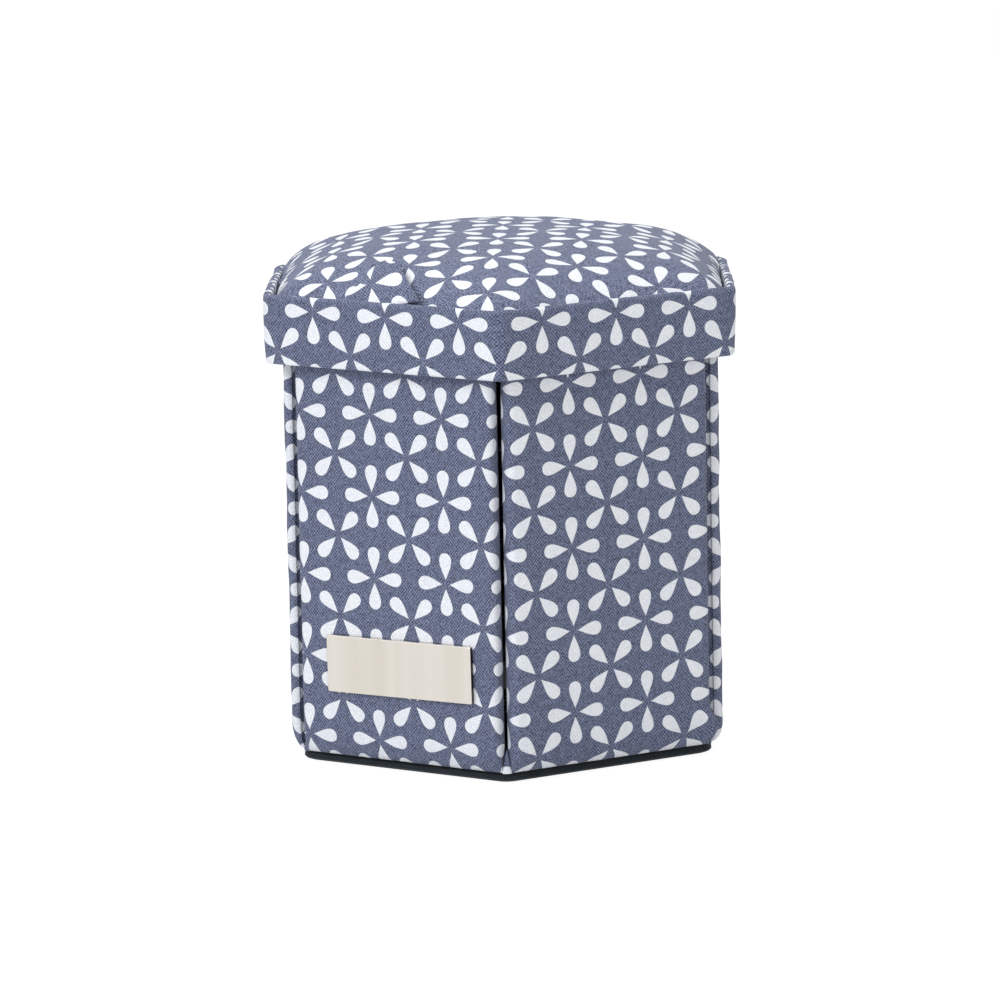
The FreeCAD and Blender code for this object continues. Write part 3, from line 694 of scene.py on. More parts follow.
@dataclass
class Surface:
    """Points and faces, with the cloth's flat place for every face corner."""

    points: Array
    faces: list
    flat: Array

    @staticmethod
    def quads(table: Array) -> Array:
        """Gives the four corners of every cell of a table."""
        return np.stack([table[:-1, :-1], table[:-1, 1:], table[1:, 1:], table[1:, :-1]], 2)

    @classmethod
    def grid(cls, places: Array, flat: Array, closed: bool = False, caps: bool = False) -> Surface:
        """Makes a surface from rows of points.

        Args:
            places: Rows by columns by 3.
            flat: Rows by columns by 2. If closed, a last column says where the first one ends the round.
            closed: Whether each row runs round.
            caps: Whether the first and last rows are closed by a face.

        Returns:
            The surface.
        """
        rows, cols = places.shape[:2]
        index = np.arange(rows * cols).reshape(rows, cols)
        wide = np.concatenate([index, index[:, :1]], axis=1) if closed else index
        if flat.shape[1] < wide.shape[1]:
            flat = np.concatenate([flat, flat[:, :1]], axis=1)
        faces = [tuple(q) for q in cls.quads(wide).reshape(-1, 4).tolist()]
        spots = [cls.quads(flat).reshape(-1, 2)]
        if caps:
            faces += [tuple(index[0, ::-1].tolist()), tuple(index[-1].tolist())]
            spots += [flat[0, :cols][::-1], flat[-1, :cols]]
        return cls(places.reshape(-1, 3), faces, np.concatenate(spots))

    @classmethod
    def solid(cls, places: Array, flat: Array) -> Surface:
        """Makes a closed surface that looks out, from rows that run round."""
        return cls.grid(places, flat, closed=True, caps=True).outward()

    def joined(self, *others: Surface) -> Surface:
        """Joins this surface and others.

        Args:
            others: The other surfaces.

        Returns:
            All of them as one.
        """
        points, faces, flat = [self.points], list(self.faces), [self.flat]
        start = len(self.points)
        for other in others:
            points.append(other.points)
            faces += [tuple(i + start for i in face) for face in other.faces]
            flat.append(other.flat)
            start += len(other.points)
        return Surface(np.concatenate(points), faces, np.concatenate(flat))

    def turned(self, degrees: float) -> Surface:
        """Turns the surface about the upright axis.

        Args:
            degrees: How far, anticlockwise from above.

        Returns:
            The turned surface.
        """
        a = math.radians(degrees)
        turn = np.array([[math.cos(a), -math.sin(a), 0], [math.sin(a), math.cos(a), 0], [0, 0, 1]])
        return Surface(self.points @ turn.T, self.faces, self.flat)

    def outward(self) -> Surface:
        """Turns the faces of a closed surface to look out.

        Returns:
            The surface itself, or one with every face turned over.
        """
        volume = 0.0
        for face in self.faces:
            corner = self.points[list(face)]
            fans = np.cross(corner[1:-1] - corner[0], corner[2:] - corner[0])
            volume += float((fans @ corner[0]).sum())
        if volume >= 0:
            return self
        flat, start = [], 0
        for face in self.faces:
            flat.append(self.flat[start : start + len(face)][::-1])
            start += len(face)
        return Surface(self.points, [face[::-1] for face in self.faces], np.concatenate(flat))

    def piece(self, name: str, finish: Finish, sharp: float = 40.0) -> Piece:
        """Makes the Blender object.

        Args:
            name: The piece's name.
            finish: What it is covered with.
            sharp: Edges that turn by more degrees than this stay crisp.

        Returns:
            The object, in the scene.
        """
        mesh = bpy.data.meshes.new(name)
        mesh.from_pydata((self.points * MM).tolist(), [], self.faces)
        mesh.uv_layers.new(name=CLOTH).data.foreach_set("uv", self.flat.astype(np.float32).ravel())
        mesh.shade_smooth()
        mesh.set_sharp_from_angle(angle=math.radians(sharp))
        mesh.materials.append(finish.material())
        made = bpy.data.objects.new(name, mesh)
        bpy.context.scene.collection.objects.link(made)
        return made


@dataclass(frozen=True)
class Ripple:
    """Soft, repeatable unevenness of cloth, as a sum of waves in all directions."""

    height: float
    shortest: float
    longest: float
    seed: int
    waves: int = 28

    def at(self, u: Array, v: Array | float) -> Array:
        """Works out the unevenness.

        Args:
            u: Flat places along the cloth.
            v: Flat places up the cloth.

        Returns:
            The height at each place.
        """
        pick = np.random.default_rng(self.seed)
        total = np.zeros(np.broadcast(u, v).shape)
        for _ in range(self.waves):
            turn, start = pick.uniform(0, TURN, 2)
            size = TURN / pick.uniform(self.shortest, self.longest)
            total += np.cos((u * math.cos(turn) + v * math.sin(turn)) * size + start)
        return self.height * total / math.sqrt(self.waves / 2)


@dataclass(frozen=True)
class PrintPlace:
    """How the print lies on a piece: the place of one upright flower, its turn and the cloth's stretch."""

    across: float
    up: float
    turn: float = 0.0
    pitch: float = FLOWER_PITCH

    def laid(self, flat: Array) -> Array:
        """Lays the print.

        Args:
            flat: Flat places on the piece, in an array of any shape by 2.

        Returns:
            The same places on the print.
        """
        a = math.radians(self.turn)
        turn = np.array([[math.cos(a), math.sin(a)], [-math.sin(a), math.cos(a)]])
        return (flat - [self.across, self.up]) @ turn.T * (FLOWER_PITCH / self.pitch)


def ribbon(line: Array, plane: Plane, offset: float, width: float, thick: float, ribs: int = 0) -> Surface:
    """Makes a strip with softly rounded edges along a line.

    Args:
        line: The middle of the strip in its plane, one point a row.
        plane: How that plane lies.
        offset: Where the plane stands along the strip's width.
        width: The strip's width.
        thick: Its thickness.
        ribs: How many lengthwise ribs it has on each side.

    Returns:
        The closed surface.
    """
    count = max(8, ribs * 4)
    half, edge = thick / 2, min(thick * 0.45, 0.4)
    section = rounded([(-half, -width / 2), (half, -width / 2), (half, width / 2), (-half, width / 2)],
                      [edge] * 4, [3] * 4, [1, count, 1, count])
    if ribs:
        wave = 0.12 * thick * np.cos(section[:, 1] / width * TURN * ribs)
        section[:, 0] += np.where(np.abs(section[:, 0]) > half * 0.9, np.sign(section[:, 0]) * wave, 0)
    *axes, over = plane.value
    path, outward = np.full((len(line), 3), offset), np.zeros((len(line), 3))
    path[:, axes], outward[:, axes] = line, sideways(line)
    across = np.eye(3)[over]
    places = path[:, None] + outward[:, None] * section[None, :, :1] + across * section[None, :, 1:]
    flat = paired(lengths(line)[:, None], np.append(section[:, 1], section[0, 1])[None])
    return Surface.solid(places, flat)


def stitches(path: Array, pitch: float = 2.2, long: float = 1.5, thick: float = 0.34) -> Surface:
    """Makes a row of short raised stitches along a line of points.

    Args:
        path: The line, one point a row.
        pitch: The distance from stitch to stitch.
        long: A stitch's length.
        thick: A stitch's thickness.

    Returns:
        All the stitches as one surface.
    """
    stations = np.array([(0.0, 0.25), (0.12, 0.8), (0.5, 1.0), (0.88, 0.8), (1.0, 0.25)])
    angle = np.linspace(0, TURN, 6, endpoint=False)
    made = []
    for middle in np.arange(pitch / 2, lengths(path)[-1] - long / 2, pitch):
        start, end = along_line(path, np.array([middle - long / 2, middle + long / 2]))
        way = (end - start) / np.linalg.norm(end - start)
        side = np.cross(way, [0.31, 0.52, 0.79])  # any direction that no seam follows
        side /= np.linalg.norm(side)
        ring = np.cos(angle)[:, None] * side + np.sin(angle)[:, None] * np.cross(way, side)
        places = np.stack([start * (1 - t) + end * t + ring * thick / 2 * r for t, r in stations])
        made.append(Surface.solid(places, paired(np.arange(7.0)[None], stations[:, :1])))
    return made[0].joined(*made[1:])


def hexagon_rings(profile: list) -> Surface:
    """Makes a closed six-sided form.

    Args:
        profile: The apothem, the height and the corner radius of each ring.

    Returns:
        The surface, with its flat places as seen from above.
    """
    places = np.stack([level(hexagon(apothem, corner), z) for apothem, z, corner in profile])
    return Surface.solid(places, places[..., :2])


def settle(made: Piece, body: str, slot: str, *replaced: str) -> Piece:
    """Puts a piece on its body.

    Args:
        made: The piece.
        body: The body that it moves with.
        slot: The material slot for it; not used.
        replaced: The nodes that it stands for.

    Returns:
        The piece.
    """
    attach(made, body)
    if replaced:
        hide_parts(*replaced)
    return made


@dataclass(frozen=True)
class Edge:
    """One upright edge of a flap.

    Its reach from the middle is low at the foot and high at the top. The cotton turns behind it with a
    small radius, back, or with a step. Its front may lean past its back, and its foot may be nicked.
    """

    low: float = 25.3
    high: float = 25.3
    back: float = 0.6
    step: float = 0.0
    lean: float = 0.0
    nick: float = 0.0
    nick_top: float = 8.5
    nick_rise: float = 5.0
    ledge: float = 46.4

    def corners(self, z: float, back: float, face: float, soft: float, side: int) -> tuple[list, ...]:
        """Draws the edge at one height, from its back to its front.

        Args:
            z: The height.
            back: The flap's back face there.
            face: The flap's front face there.
            soft: The rounding of the front edge.
            side: -1 for the left edge as seen from outside, 1 for the right one.

        Returns:
            Corners, radii, arcs and runs.
        """
        reach = float(np.interp(z, [FLAP_FOOT, FLAP_TOP], [self.low, self.high]))
        reach -= self.nick * float(np.clip((self.nick_top - z) / self.nick_rise, 0, 1))
        depth = face - back
        hard = min(self.back, 0.3 * depth)
        if not self.step:
            return [(back, side * reach), (face, side * (reach + self.lean))], [hard, soft], [3, 8], [2, 2]
        ledge = min(self.ledge, back + 0.55 * depth)
        inner = reach - self.step
        spots = [(back, side * inner), (ledge, side * inner), (ledge, side * reach), (face, side * reach)]
        return spots, [min(0.3, hard), 0.2, 0.25, min(soft, 0.32 * depth)], [3, 2, 3, 8], [2, 2, 1, 2]


@dataclass(frozen=True)
class Flap:
    """One padded wall of the box with its lining and its fabric hinge."""

    name: str
    facing: float
    print_place: PrintPlace
    seed: int
    left: Edge = Edge()
    right: Edge = Edge()
    flare: float = 0.0
    crease: tuple[float, float] | None = None
    foot: float = 2.4
    foot_rise: float = 7.0
    foot_depth: float = 2.75
    top_round: float = 3.0
    half: float = 25.0
    edge_round: float = 1.6
    back: float = FLAP_INNER + 0.25
    most_lift: float = 0.13  # keeps the padding off the floor when the flap lies flat
    swell: float = 0.12
    flare_z: float = 6.4
    flare_rise: float = 3.4
    crease_way: tuple[float, float] = (0.41, 0.91)
    crease_depth: float = 0.85
    crease_length: float = 1.7
    crease_fade: tuple[float, float] = (1.6, 0.35)  # on its soft side and on its crisp side
    lining_half: float = 22.0
    lining_thick: float = 1.0
    hem: float = 3.0
    hinge_line: tuple = ((36.5, 2.5), (40.5, 2.5), (43.6, 2.5), (44.6, 2.5), (45.05, 2.53), (45.25, 2.68),
                         (45.31, 2.95), (45.28, 3.3), (45.2, 3.7))
    hinge_bend: tuple = ((44.8, 2.5), (45.3, 3.1))

    @property
    def body(self) -> str:
        """Gives the name of the flap's body."""
        return "flap_" + self.name

    def profile(self) -> Array:
        """Draws the cover's outer face from the foot to the top.

        Returns:
            The face's distance from the axis, its height and the height along the cloth, one row each.
        """
        low, high = self.foot + self.foot_rise, FLAP_TOP - self.top_round
        steps = 160 if self.crease else 80
        foot, top = np.radians(np.linspace(-90, 0, 15)), np.radians(np.linspace(0, 90, 9))
        x = [FLAP_OUTER - self.foot_depth * (1 - np.cos(foot)), np.full(steps - 2, FLAP_OUTER),
             FLAP_OUTER - self.top_round * (1 - np.cos(top))]
        z = [low + self.foot_rise * np.sin(foot), np.linspace(low, high, steps)[1:-1],
             high + self.top_round * np.sin(top)]
        line = np.column_stack([np.concatenate(x), np.concatenate(z)])
        along = lengths(line)
        straight = 20  # a row on the upright face, where the cloth's height is the real one
        return np.column_stack([line, along - along[straight] + line[straight, 1]])

    def ring(self, face: float, z: float) -> Array:
        """Draws the cover's outline at one height.

        Args:
            face: The distance of the outer face from the axis.
            z: The height.

        Returns:
            The points, from the middle of the back round by the left edge.
        """
        soft = min(self.edge_round, 0.46 * (face - self.back))
        left, right = (edge.corners(z, self.back, face, soft, side)
                       for edge, side in ((self.left, -1), (self.right, 1)))
        spots, radii, arcs = ([a, *b, *c[::-1]] for a, b, c in zip(((self.back, 0), 0, 0), left, right))
        run = 96 if self.crease else 48
        return rounded(spots, radii, arcs, [6, *left[3][:-1], run, *right[3][-2::-1], 6])

    def lift(self, y: Array, z: float) -> Array:
        """Works out how far the padded face stands out at one height.

        Args:
            y: Places across the flap.
            z: The height.

        Returns:
            The swell, with puckers at the foot and the crease.
        """
        # the swell is full between 17 mm above the foot and 17 mm below the top
        middle = np.clip((z - FLAP_FOOT - 3) / 14, 0, 1) * np.clip((FLAP_TOP - 9 - z) / 8, 0, 1)
        lift = (self.swell * (1 - (y / self.half) ** 4) + Ripple(0.09, 9, 30, self.seed).at(y, z)) * middle
        near_foot = np.exp(-(((z - FLAP_FOOT - 2.5) / 3.0) ** 2))
        lift += Ripple(0.16, 2.6, 6.0, self.seed + 50).at(y, z * 0.2) * near_foot
        if self.crease:
            (a, b), across, up = self.crease_way, y - self.crease[0], z - self.crease[1]
            along_fold, off_fold = across * a - up * b, across * b + up * a
            soft, crisp = self.crease_fade
            dip = np.where(off_fold > 0, np.exp(-off_fold / soft), np.exp(off_fold / crisp))
            lift -= self.crease_depth * dip * np.exp(-((along_fold / self.crease_length) ** 2))
        return np.minimum(lift, self.most_lift)

    def cover(self) -> Surface:
        """Makes the padded cover: soft edges, a slight swell and puckers at the foot.

        Returns:
            The closed surface with the print laid on it.
        """
        rows, flats = [], []
        for face, z, cloth in self.profile():
            ring = self.ring(face, z)
            along = lengths(ring, True)
            front = slice(len(ring) // 4, 3 * len(ring) // 4)
            along -= np.interp(0.0, ring[front, 1], along[front])
            weight = np.clip((ring[:, 0] - self.back) / (face - self.back), 0, 1) ** 2
            ring[:, 0] += self.lift(ring[:, 1], z) * weight
            near_foot = math.exp(-(((z - self.flare_z) / self.flare_rise) ** 2))
            near_edge = np.clip(ring[:, 1] / self.half, 0, 1) ** 6
            ring[:, 1] += self.flare * np.sqrt(weight) * near_edge * near_foot
            rows.append(level(ring, z))
            flats.append(paired(along, cloth))
        flat = self.print_place.laid(np.stack(flats))
        return Surface.solid(np.stack(rows), flat).turned(self.facing)

    def lining(self) -> Surface:
        """Makes the lining panel glued inside the turned-in cover.

        Returns:
            The closed surface.
        """
        half, hem, thick, soft = self.lining_half, self.hem, self.lining_thick, 0.9
        low, high = FLAP_FOOT + hem, FLAP_TOP - hem
        edge = np.array([0, 0.06, 0.2, 0.42, 0.68, 0.9])
        y = np.concatenate([-half + edge, np.linspace(-half + hem, half - hem, 20), half - edge[::-1]])
        z = np.concatenate([low + edge, np.linspace(low + hem, high - hem, 38), high - edge[::-1]])
        across, up = np.meshgrid(y, z)
        inside = np.minimum(np.minimum(across + half, half - across), np.minimum(up - low, high - up))
        rise = thick * np.sqrt(1 - (1 - np.clip(inside / soft, 0, 1)) ** 2)
        rise += np.where(inside > 1.5, Ripple(0.03, 6, 20, self.seed + 90).at(across, up), 0)
        places = np.stack([FLAP_INNER + thick - rise, across, up], -1)
        front = Surface.grid(places, np.stack([-across, up], -1))
        index = np.arange(across.size).reshape(across.shape)
        rim = [*index[0], *index[1:, -1], *index[-1, -2::-1], *index[-2:0:-1, 0]]
        flat = np.column_stack([-across.ravel()[rim], up.ravel()[rim]])[::-1]
        front.faces.append(tuple(int(i) for i in rim[::-1]))
        front.flat = np.concatenate([front.flat, flat])
        return front.outward().turned(self.facing)

    def hinge(self) -> Surface:
        """Makes the cotton strip from under the base board to the flap's foot."""
        return ribbon(np.array(self.hinge_line), Plane.UPRIGHT, 0.0, 45.0, 0.36).turned(self.facing)

    def build(self) -> list[Piece]:
        """Builds the flap's own cloth.

        Returns:
            The pieces.
        """
        name = self.body
        cover = self.cover().piece(name + "_cover_cloth", PRINT, 60)
        settle(cover, name, "printed_cotton", name + "_cover")
        lining = self.lining().piece(name + "_lining_cloth", LINING)
        settle(lining, name, "lining_cotton", name + "_lining")
        hinge = self.hinge().piece(name + "_hinge_cloth", LINING)
        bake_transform(hinge)
        if self.name == "front_left":
            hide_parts("hinge_tapes")
        return [cover, lining, hinge]


@dataclass(frozen=True)
class ThreadReel:
    """A reel of thread under its elastic band on a flap."""

    flap: Flap
    thread: Thread
    pitch: float = 0.56  # about two real turns, so that they show
    steps: int = 4
    groove: float = 0.15
    inset: float = 0.17
    lead: float = 0.25

    def winding(self) -> Surface:
        """Makes the wound thread: close helical turns between the flanges.

        Returns:
            The surface.
        """
        low, high = REEL_LOW + REEL_FLANGE, REEL_HIGH - REEL_FLANGE
        row = np.arange(int((high - low) / self.pitch) * self.steps - self.steps)
        angle = np.linspace(0, TURN, 45)
        z = low + self.lead + row[:, None] * self.pitch / self.steps + angle[None] / TURN * self.pitch
        ends = np.minimum(z - low, high - z)
        turns = self.groove * np.abs(np.cos(math.pi * row / self.steps))[:, None]
        radius = THREAD_RADIUS - self.inset + turns - np.clip(1 - ends, 0, 1) ** 2
        places = np.stack([REEL_AXIS + radius * np.cos(angle), radius * np.sin(angle), z], -1)
        return Surface.grid(places, paired(angle[None] * THREAD_RADIUS, z)).turned(self.flap.facing)

    def band(self) -> Surface:
        """Makes the elastic band round the reel, with its two sewn feet.

        Returns:
            The closed surface.
        """
        foot, radius = FLAP_INNER - BAND_THICKNESS / 2, BAND_RADIUS
        bow = np.radians(np.linspace(-90, -270, 41))
        arc = np.column_stack([REEL_AXIS + radius * np.cos(bow), radius * np.sin(bow)])
        leg = rounded([(foot, -radius - BAND_FOOT), (foot, -radius), (REEL_AXIS + 0.5, -radius)],
                      [0, 1.0, 0], [0, 6, 0], [4, 6, 0], closed=False)
        line = np.concatenate([leg, arc, leg[::-1] * [1, -1]])
        made = ribbon(line, Plane.LEVEL, BAND_LOW + BAND_HEIGHT / 2, BAND_HEIGHT, BAND_THICKNESS, ribs=10)
        return made.turned(self.flap.facing)

    def seams(self) -> Surface:
        """Makes the rows of stitches that hold the band's feet.

        Returns:
            Both rows as one surface.
        """
        x, away, hem = FLAP_INNER - BAND_THICKNESS - 0.02, BAND_RADIUS + 2.6, 1
        z = np.linspace(BAND_LOW + hem, BAND_LOW + BAND_HEIGHT - hem, 8)
        rows = [stitches(np.column_stack([np.full(8, x), np.full(8, y), z])) for y in (-away, away)]
        return rows[0].joined(rows[1]).turned(self.flap.facing)

    def build(self) -> list[Piece]:
        """Builds the thread and the band.

        Returns:
            The pieces.
        """
        name, body = "reel_" + self.flap.name, self.flap.body
        winding = self.winding().piece(name + "_winding", self.thread, 180)
        settle(winding, body, "thread_" + self.thread.name.split()[0], name + "_thread")
        band = self.band().piece(body + "_band_elastic", ELASTIC, 60)
        settle(band, body, "elastic", body + "_band")
        seams = settle(self.seams().piece(body + "_band_stitches", STITCH, 180), body, "elastic")
        return [winding, band, seams]


@dataclass(frozen=True)
class Pocket:
    """A patch pocket sewn to a flap's lining."""

    flap: Flap
    width: float
    depth: float
    ease: float = 0.3
    hem: float = 6.0
    seam_gap: float = 0.35

    def patch(self) -> Surface:
        """Makes the pocket's cloth, with a turned hem at its mouth.

        Returns:
            The surface, out over the front and back down the inside.
        """
        inside, mouth = self.width / 2 + self.ease, POCKET_LOW + POCKET_HEIGHT
        half = inside + POCKET_SEAM
        slope = POCKET_SEAM * (1 - np.sin(np.linspace(0, math.pi / 2, 8)))
        y = np.concatenate([-half + slope[::-1], np.linspace(-inside, inside, 22)[1:-1], half - slope])
        z = np.concatenate([POCKET_LOW + slope[::-1],
                            np.linspace(POCKET_LOW + POCKET_SEAM, mouth - 0.4, 30)[1:]])
        side = np.clip((np.abs(y) - inside) / POCKET_SEAM, 0, 1)
        foot = np.clip((POCKET_LOW + POCKET_SEAM - z) / POCKET_SEAM, 0, 1)
        full = np.sqrt(1 - side**2)[None] * np.sqrt(1 - foot**2)[:, None]
        across, up = np.meshgrid(y, z)
        sag = Ripple(0.1, 7, 22, self.flap.seed + 30).at(across, up) * np.clip(full - 0.9, 0, 1) * 10
        lip = 0.25 * np.clip((up - mouth + self.hem) / self.hem, 0, 1)
        hem = 0.3 * ((up > mouth - self.hem) & (full > 0.99))
        front = FLAP_INNER - full * (self.depth + POCKET_COTTON + np.abs(sag) + lip) - hem * 0.6
        back = front + full * 0.7 + hem * 0.2
        top = np.full(len(y), z[-1] + 0.3)
        roll = [np.stack([front[-1] * (1 - s) + back[-1] * s, y, top], -1)[None] for s in (0.15, 0.85)]
        places = np.concatenate([np.stack([front, across, up], -1), *roll,
                                 np.stack([back, across, up], -1)[::-1]])
        heights = np.concatenate([z, [z[-1] + 0.5, z[-1] + 1.0], 2 * z[-1] + 1.5 - z[::-1]])
        return Surface.grid(places, paired(-y[None], heights[:, None])).turned(self.flap.facing)

    def seams(self) -> Surface:
        """Makes the stitching round the pocket.

        Returns:
            The stitches as one surface.
        """
        half = self.width / 2 + self.ease + POCKET_SEAM + self.seam_gap
        low, high, x = POCKET_LOW - self.seam_gap, POCKET_LOW + POCKET_HEIGHT, FLAP_INNER - 0.12
        edge = np.array([(x, -half, high), (x, -half, low), (x, half, low), (x, half, high)])
        return stitches(edge).turned(self.flap.facing)

    def build(self) -> list[Piece]:
        """Builds the pocket.

        Returns:
            The pieces.
        """
        body = self.flap.body
        patch = self.patch().piece(body + "_pocket_cloth", POCKET)
        settle(patch, body, "lining_cotton", body + "_pocket")
        cut = self.width + 2 * (self.depth + POCKET_SEAM)
        cut * MM
        seams = self.seams().piece(body + "_pocket_stitches", STITCH, 180)
        return [patch, settle(seams, body, "lining_cotton")]


@dataclass(frozen=True)
class TapeMeasure:
    """A measuring tape folded back and forth in its pocket."""

    flap: Flap
    width: float = 16.0
    length: float = 58.0
    layers: int = 8
    pitch: float = 0.74
    thick: float = 0.42
    slack: float = 0.25

    def line(self) -> Array:
        """Draws the folded ribbon's middle.

        Returns:
            The points, seen along the ribbon's width.
        """
        foot, x = POCKET_LOW + POCKET_SEAM + 0.3, FLAP_INNER - 0.3 - 0.35
        turn = self.pitch / 2
        bend = np.linspace(0, math.pi, 7)[1:-1]
        line = []
        for i in range(self.layers):
            at, way = x - i * self.pitch, 1 - 2 * (i % 2)
            ends = [foot + turn + self.slack, foot + self.length - turn - self.slack - 0.5 * (i % 3)]
            start, stop = ends[::way]
            line += [(at, z) for z in np.linspace(start, stop, 12)]
            if i < self.layers - 1:
                line += [(at - turn * (1 - math.cos(b)), stop + way * turn * math.sin(b)) for b in bend]
        return np.array(line)

    def build(self) -> list[Piece]:
        """Builds the folded ribbon.

        Returns:
            The one piece.
        """
        line = self.line()
        made = ribbon(line, Plane.UPRIGHT, 0.0, self.width, self.thick).turned(self.flap.facing)
        piece = made.piece("tape_measure_ribbon", MEASURE)
        settle(piece, self.flap.body, "measuring_tape", "tape_measure")
        self.width * MM
        return [piece]


@dataclass(frozen=True)
class Base:
    """The sole, the lined base and what it carries."""

    tuck_foot: float = 2.3
    tuck_rise: float = 5.4
    tuck_reach: float = 52.0
    keeper_side: float = 3.03
    keeper_top: float = 8.42
    keeper_foot: float = 5.9
    ring_inner: float = 7.66
    ring_outer: float = 9.46
    ring_high: float = 8.0
    ring_puff: float = 8.5  # the cotton is gathered outside this radius

    def sole(self) -> Surface:
        """Makes the felt sole with softened edges."""
        rings = ((3.0, 0.0, 3.0), (1.2, 0.15, 3.6), (0.35, 0.5, 3.9), (0.0, 0.95, 4.0),
                 (0.1, 1.35, 4.0), (0.7, 1.65, 3.6), (1.5, 1.95, 3.2), (1.8, SOLE_TOP, 3.0))
        return hexagon_rings([(SOLE_APOTHEM - inset, z, corner) for inset, z, corner in rings])

    def lining(self) -> Surface:
        """Makes the base lining, drawn down over the board's edge.

        Returns:
            The closed surface.
        """
        a = BASE_APOTHEM + 0.25
        rings = [(a - 0.1, BASE_BOARD_Z + 0.05, 2.0), (a, 3.3, 2.1), (a, 5.2, 2.1), (a - 0.15, 5.65, 2.0),
                 (a - 0.5, 5.92, 1.8), (a - 1.0, FLOOR_Z, 1.6)]
        rings += [(a * s, FLOOR_Z, 1.5) for s in (0.93, 0.85, 0.75, 0.64, 0.52, 0.4, 0.28, 0.16, 0.06)]
        made = hexagon_rings(rings)
        top = made.points[:, 2] > FLOOR_Z - 0.01
        made.points[top, 2] += np.abs(Ripple(0.05, 8, 26, 7).at(made.points[top, 0], made.points[top, 1]))
        return made

    def tuck(self, corner: float, number: int) -> Surface:
        """Makes the little folded tuck of cloth at the foot of a corner.

        Args:
            corner: The corner's direction, in degrees.
            number: Its place in the row, which shifts the print.

        Returns:
            The closed surface.
        """
        angle = np.linspace(0, TURN, 20, endpoint=False)
        rows, flats = [], []
        for t in np.linspace(0, 1, 12):
            half, deep = 1.05 * (1 - t) ** 0.9 + 0.05, 0.6 * (1 - t) ** 0.7 + 0.05
            out, up = self.tuck_reach - 0.35 * t, self.tuck_rise * t
            ring = np.column_stack([out + deep * np.sin(angle), half * np.cos(angle)])
            rows.append(level(ring, self.tuck_foot + up))
            wrap = np.append(np.cos(angle), 1.0) * half
            flats.append(paired(wrap + number * 5.3, self.tuck_rise + up + number * 3.1))
        return Surface.solid(np.stack(rows), np.stack(flats)).turned(corner)

    def keeper(self) -> Surface:
        """Makes the elastic loop over the lower shank of the scissors.

        Returns:
            The closed surface.
        """
        low, side, top, end = FLOOR_Z + 0.3, self.keeper_side, self.keeper_top, self.keeper_foot
        arch = rounded([(-end, low), (-side, low), (-side, top), (side, top), (side, low), (end, low)],
                       [0, 0.5, 0.8, 0.8, 0.5, 0], [0, 4, 6, 6, 4, 0], [4, 3, 6, 3, 4, 0], closed=False)
        return ribbon(arch, Plane.UPRIGHT, -KEEPER_REACH, 7.0, 0.6, ribs=5).turned(-SHANK_ANGLE)

    def thimble_ring(self) -> Surface:
        """Makes the padded cotton ring that the thimble stands in.

        Returns:
            The closed surface.
        """
        inner, outer, high = self.ring_inner, self.ring_outer, FLOOR_Z + self.ring_high
        section = rounded([(inner, FLOOR_Z), (outer, FLOOR_Z), (outer, high), (inner, high)],
                          [0.3, 0.3, 0.85, 0.85], [3, 3, 6, 6], [2, 8, 1, 8])
        angle = np.linspace(0, TURN, 72, endpoint=False)[:, None]
        gather = Ripple(0.07, 2.5, 6, 11).at(angle * 9, section[None, :, 1] * 0.4)
        radius = section[None, :, 0] + gather * (section[None, :, 0] > self.ring_puff)
        x, y = THIMBLE_X + radius * np.cos(angle), THIMBLE_Y + radius * np.sin(angle)
        places = np.stack([x, y, np.broadcast_to(section[None, :, 1], radius.shape)], -1)
        places = np.concatenate([places, places[:1]])
        flat = paired(np.linspace(0, 56, 73)[:, None], lengths(section, True)[None])
        return Surface.grid(places, flat, closed=True).outward()

    def build(self) -> list[Piece]:
        """Builds the base's cloth.

        Returns:
            The pieces.
        """
        sole = settle(self.sole().piece("base_sole_felt", SOLE), "base", "sole_felt", "base_sole")
        lining = self.lining().piece("base_lining_cloth", LINING)
        settle(lining, "base", "lining_cotton", "base_lining")
        tucks = [self.tuck(60 * i - 90, i).piece(f"corner_tuck_{i + 1}", PRINT) for i in range(6)]
        for tuck in tucks:
            settle(tuck, "base", "printed_cotton")
        keeper = self.keeper().piece("scissors_keeper_elastic", ELASTIC, 60)
        settle(keeper, "base", "elastic", "scissors_keeper")
        ring = self.thimble_ring().piece("thimble_ring_cloth", POCKET, 60)
        settle(ring, "base", "lining_cotton", "thimble_ring")
        return [sole, lining, *tucks, keeper, ring]


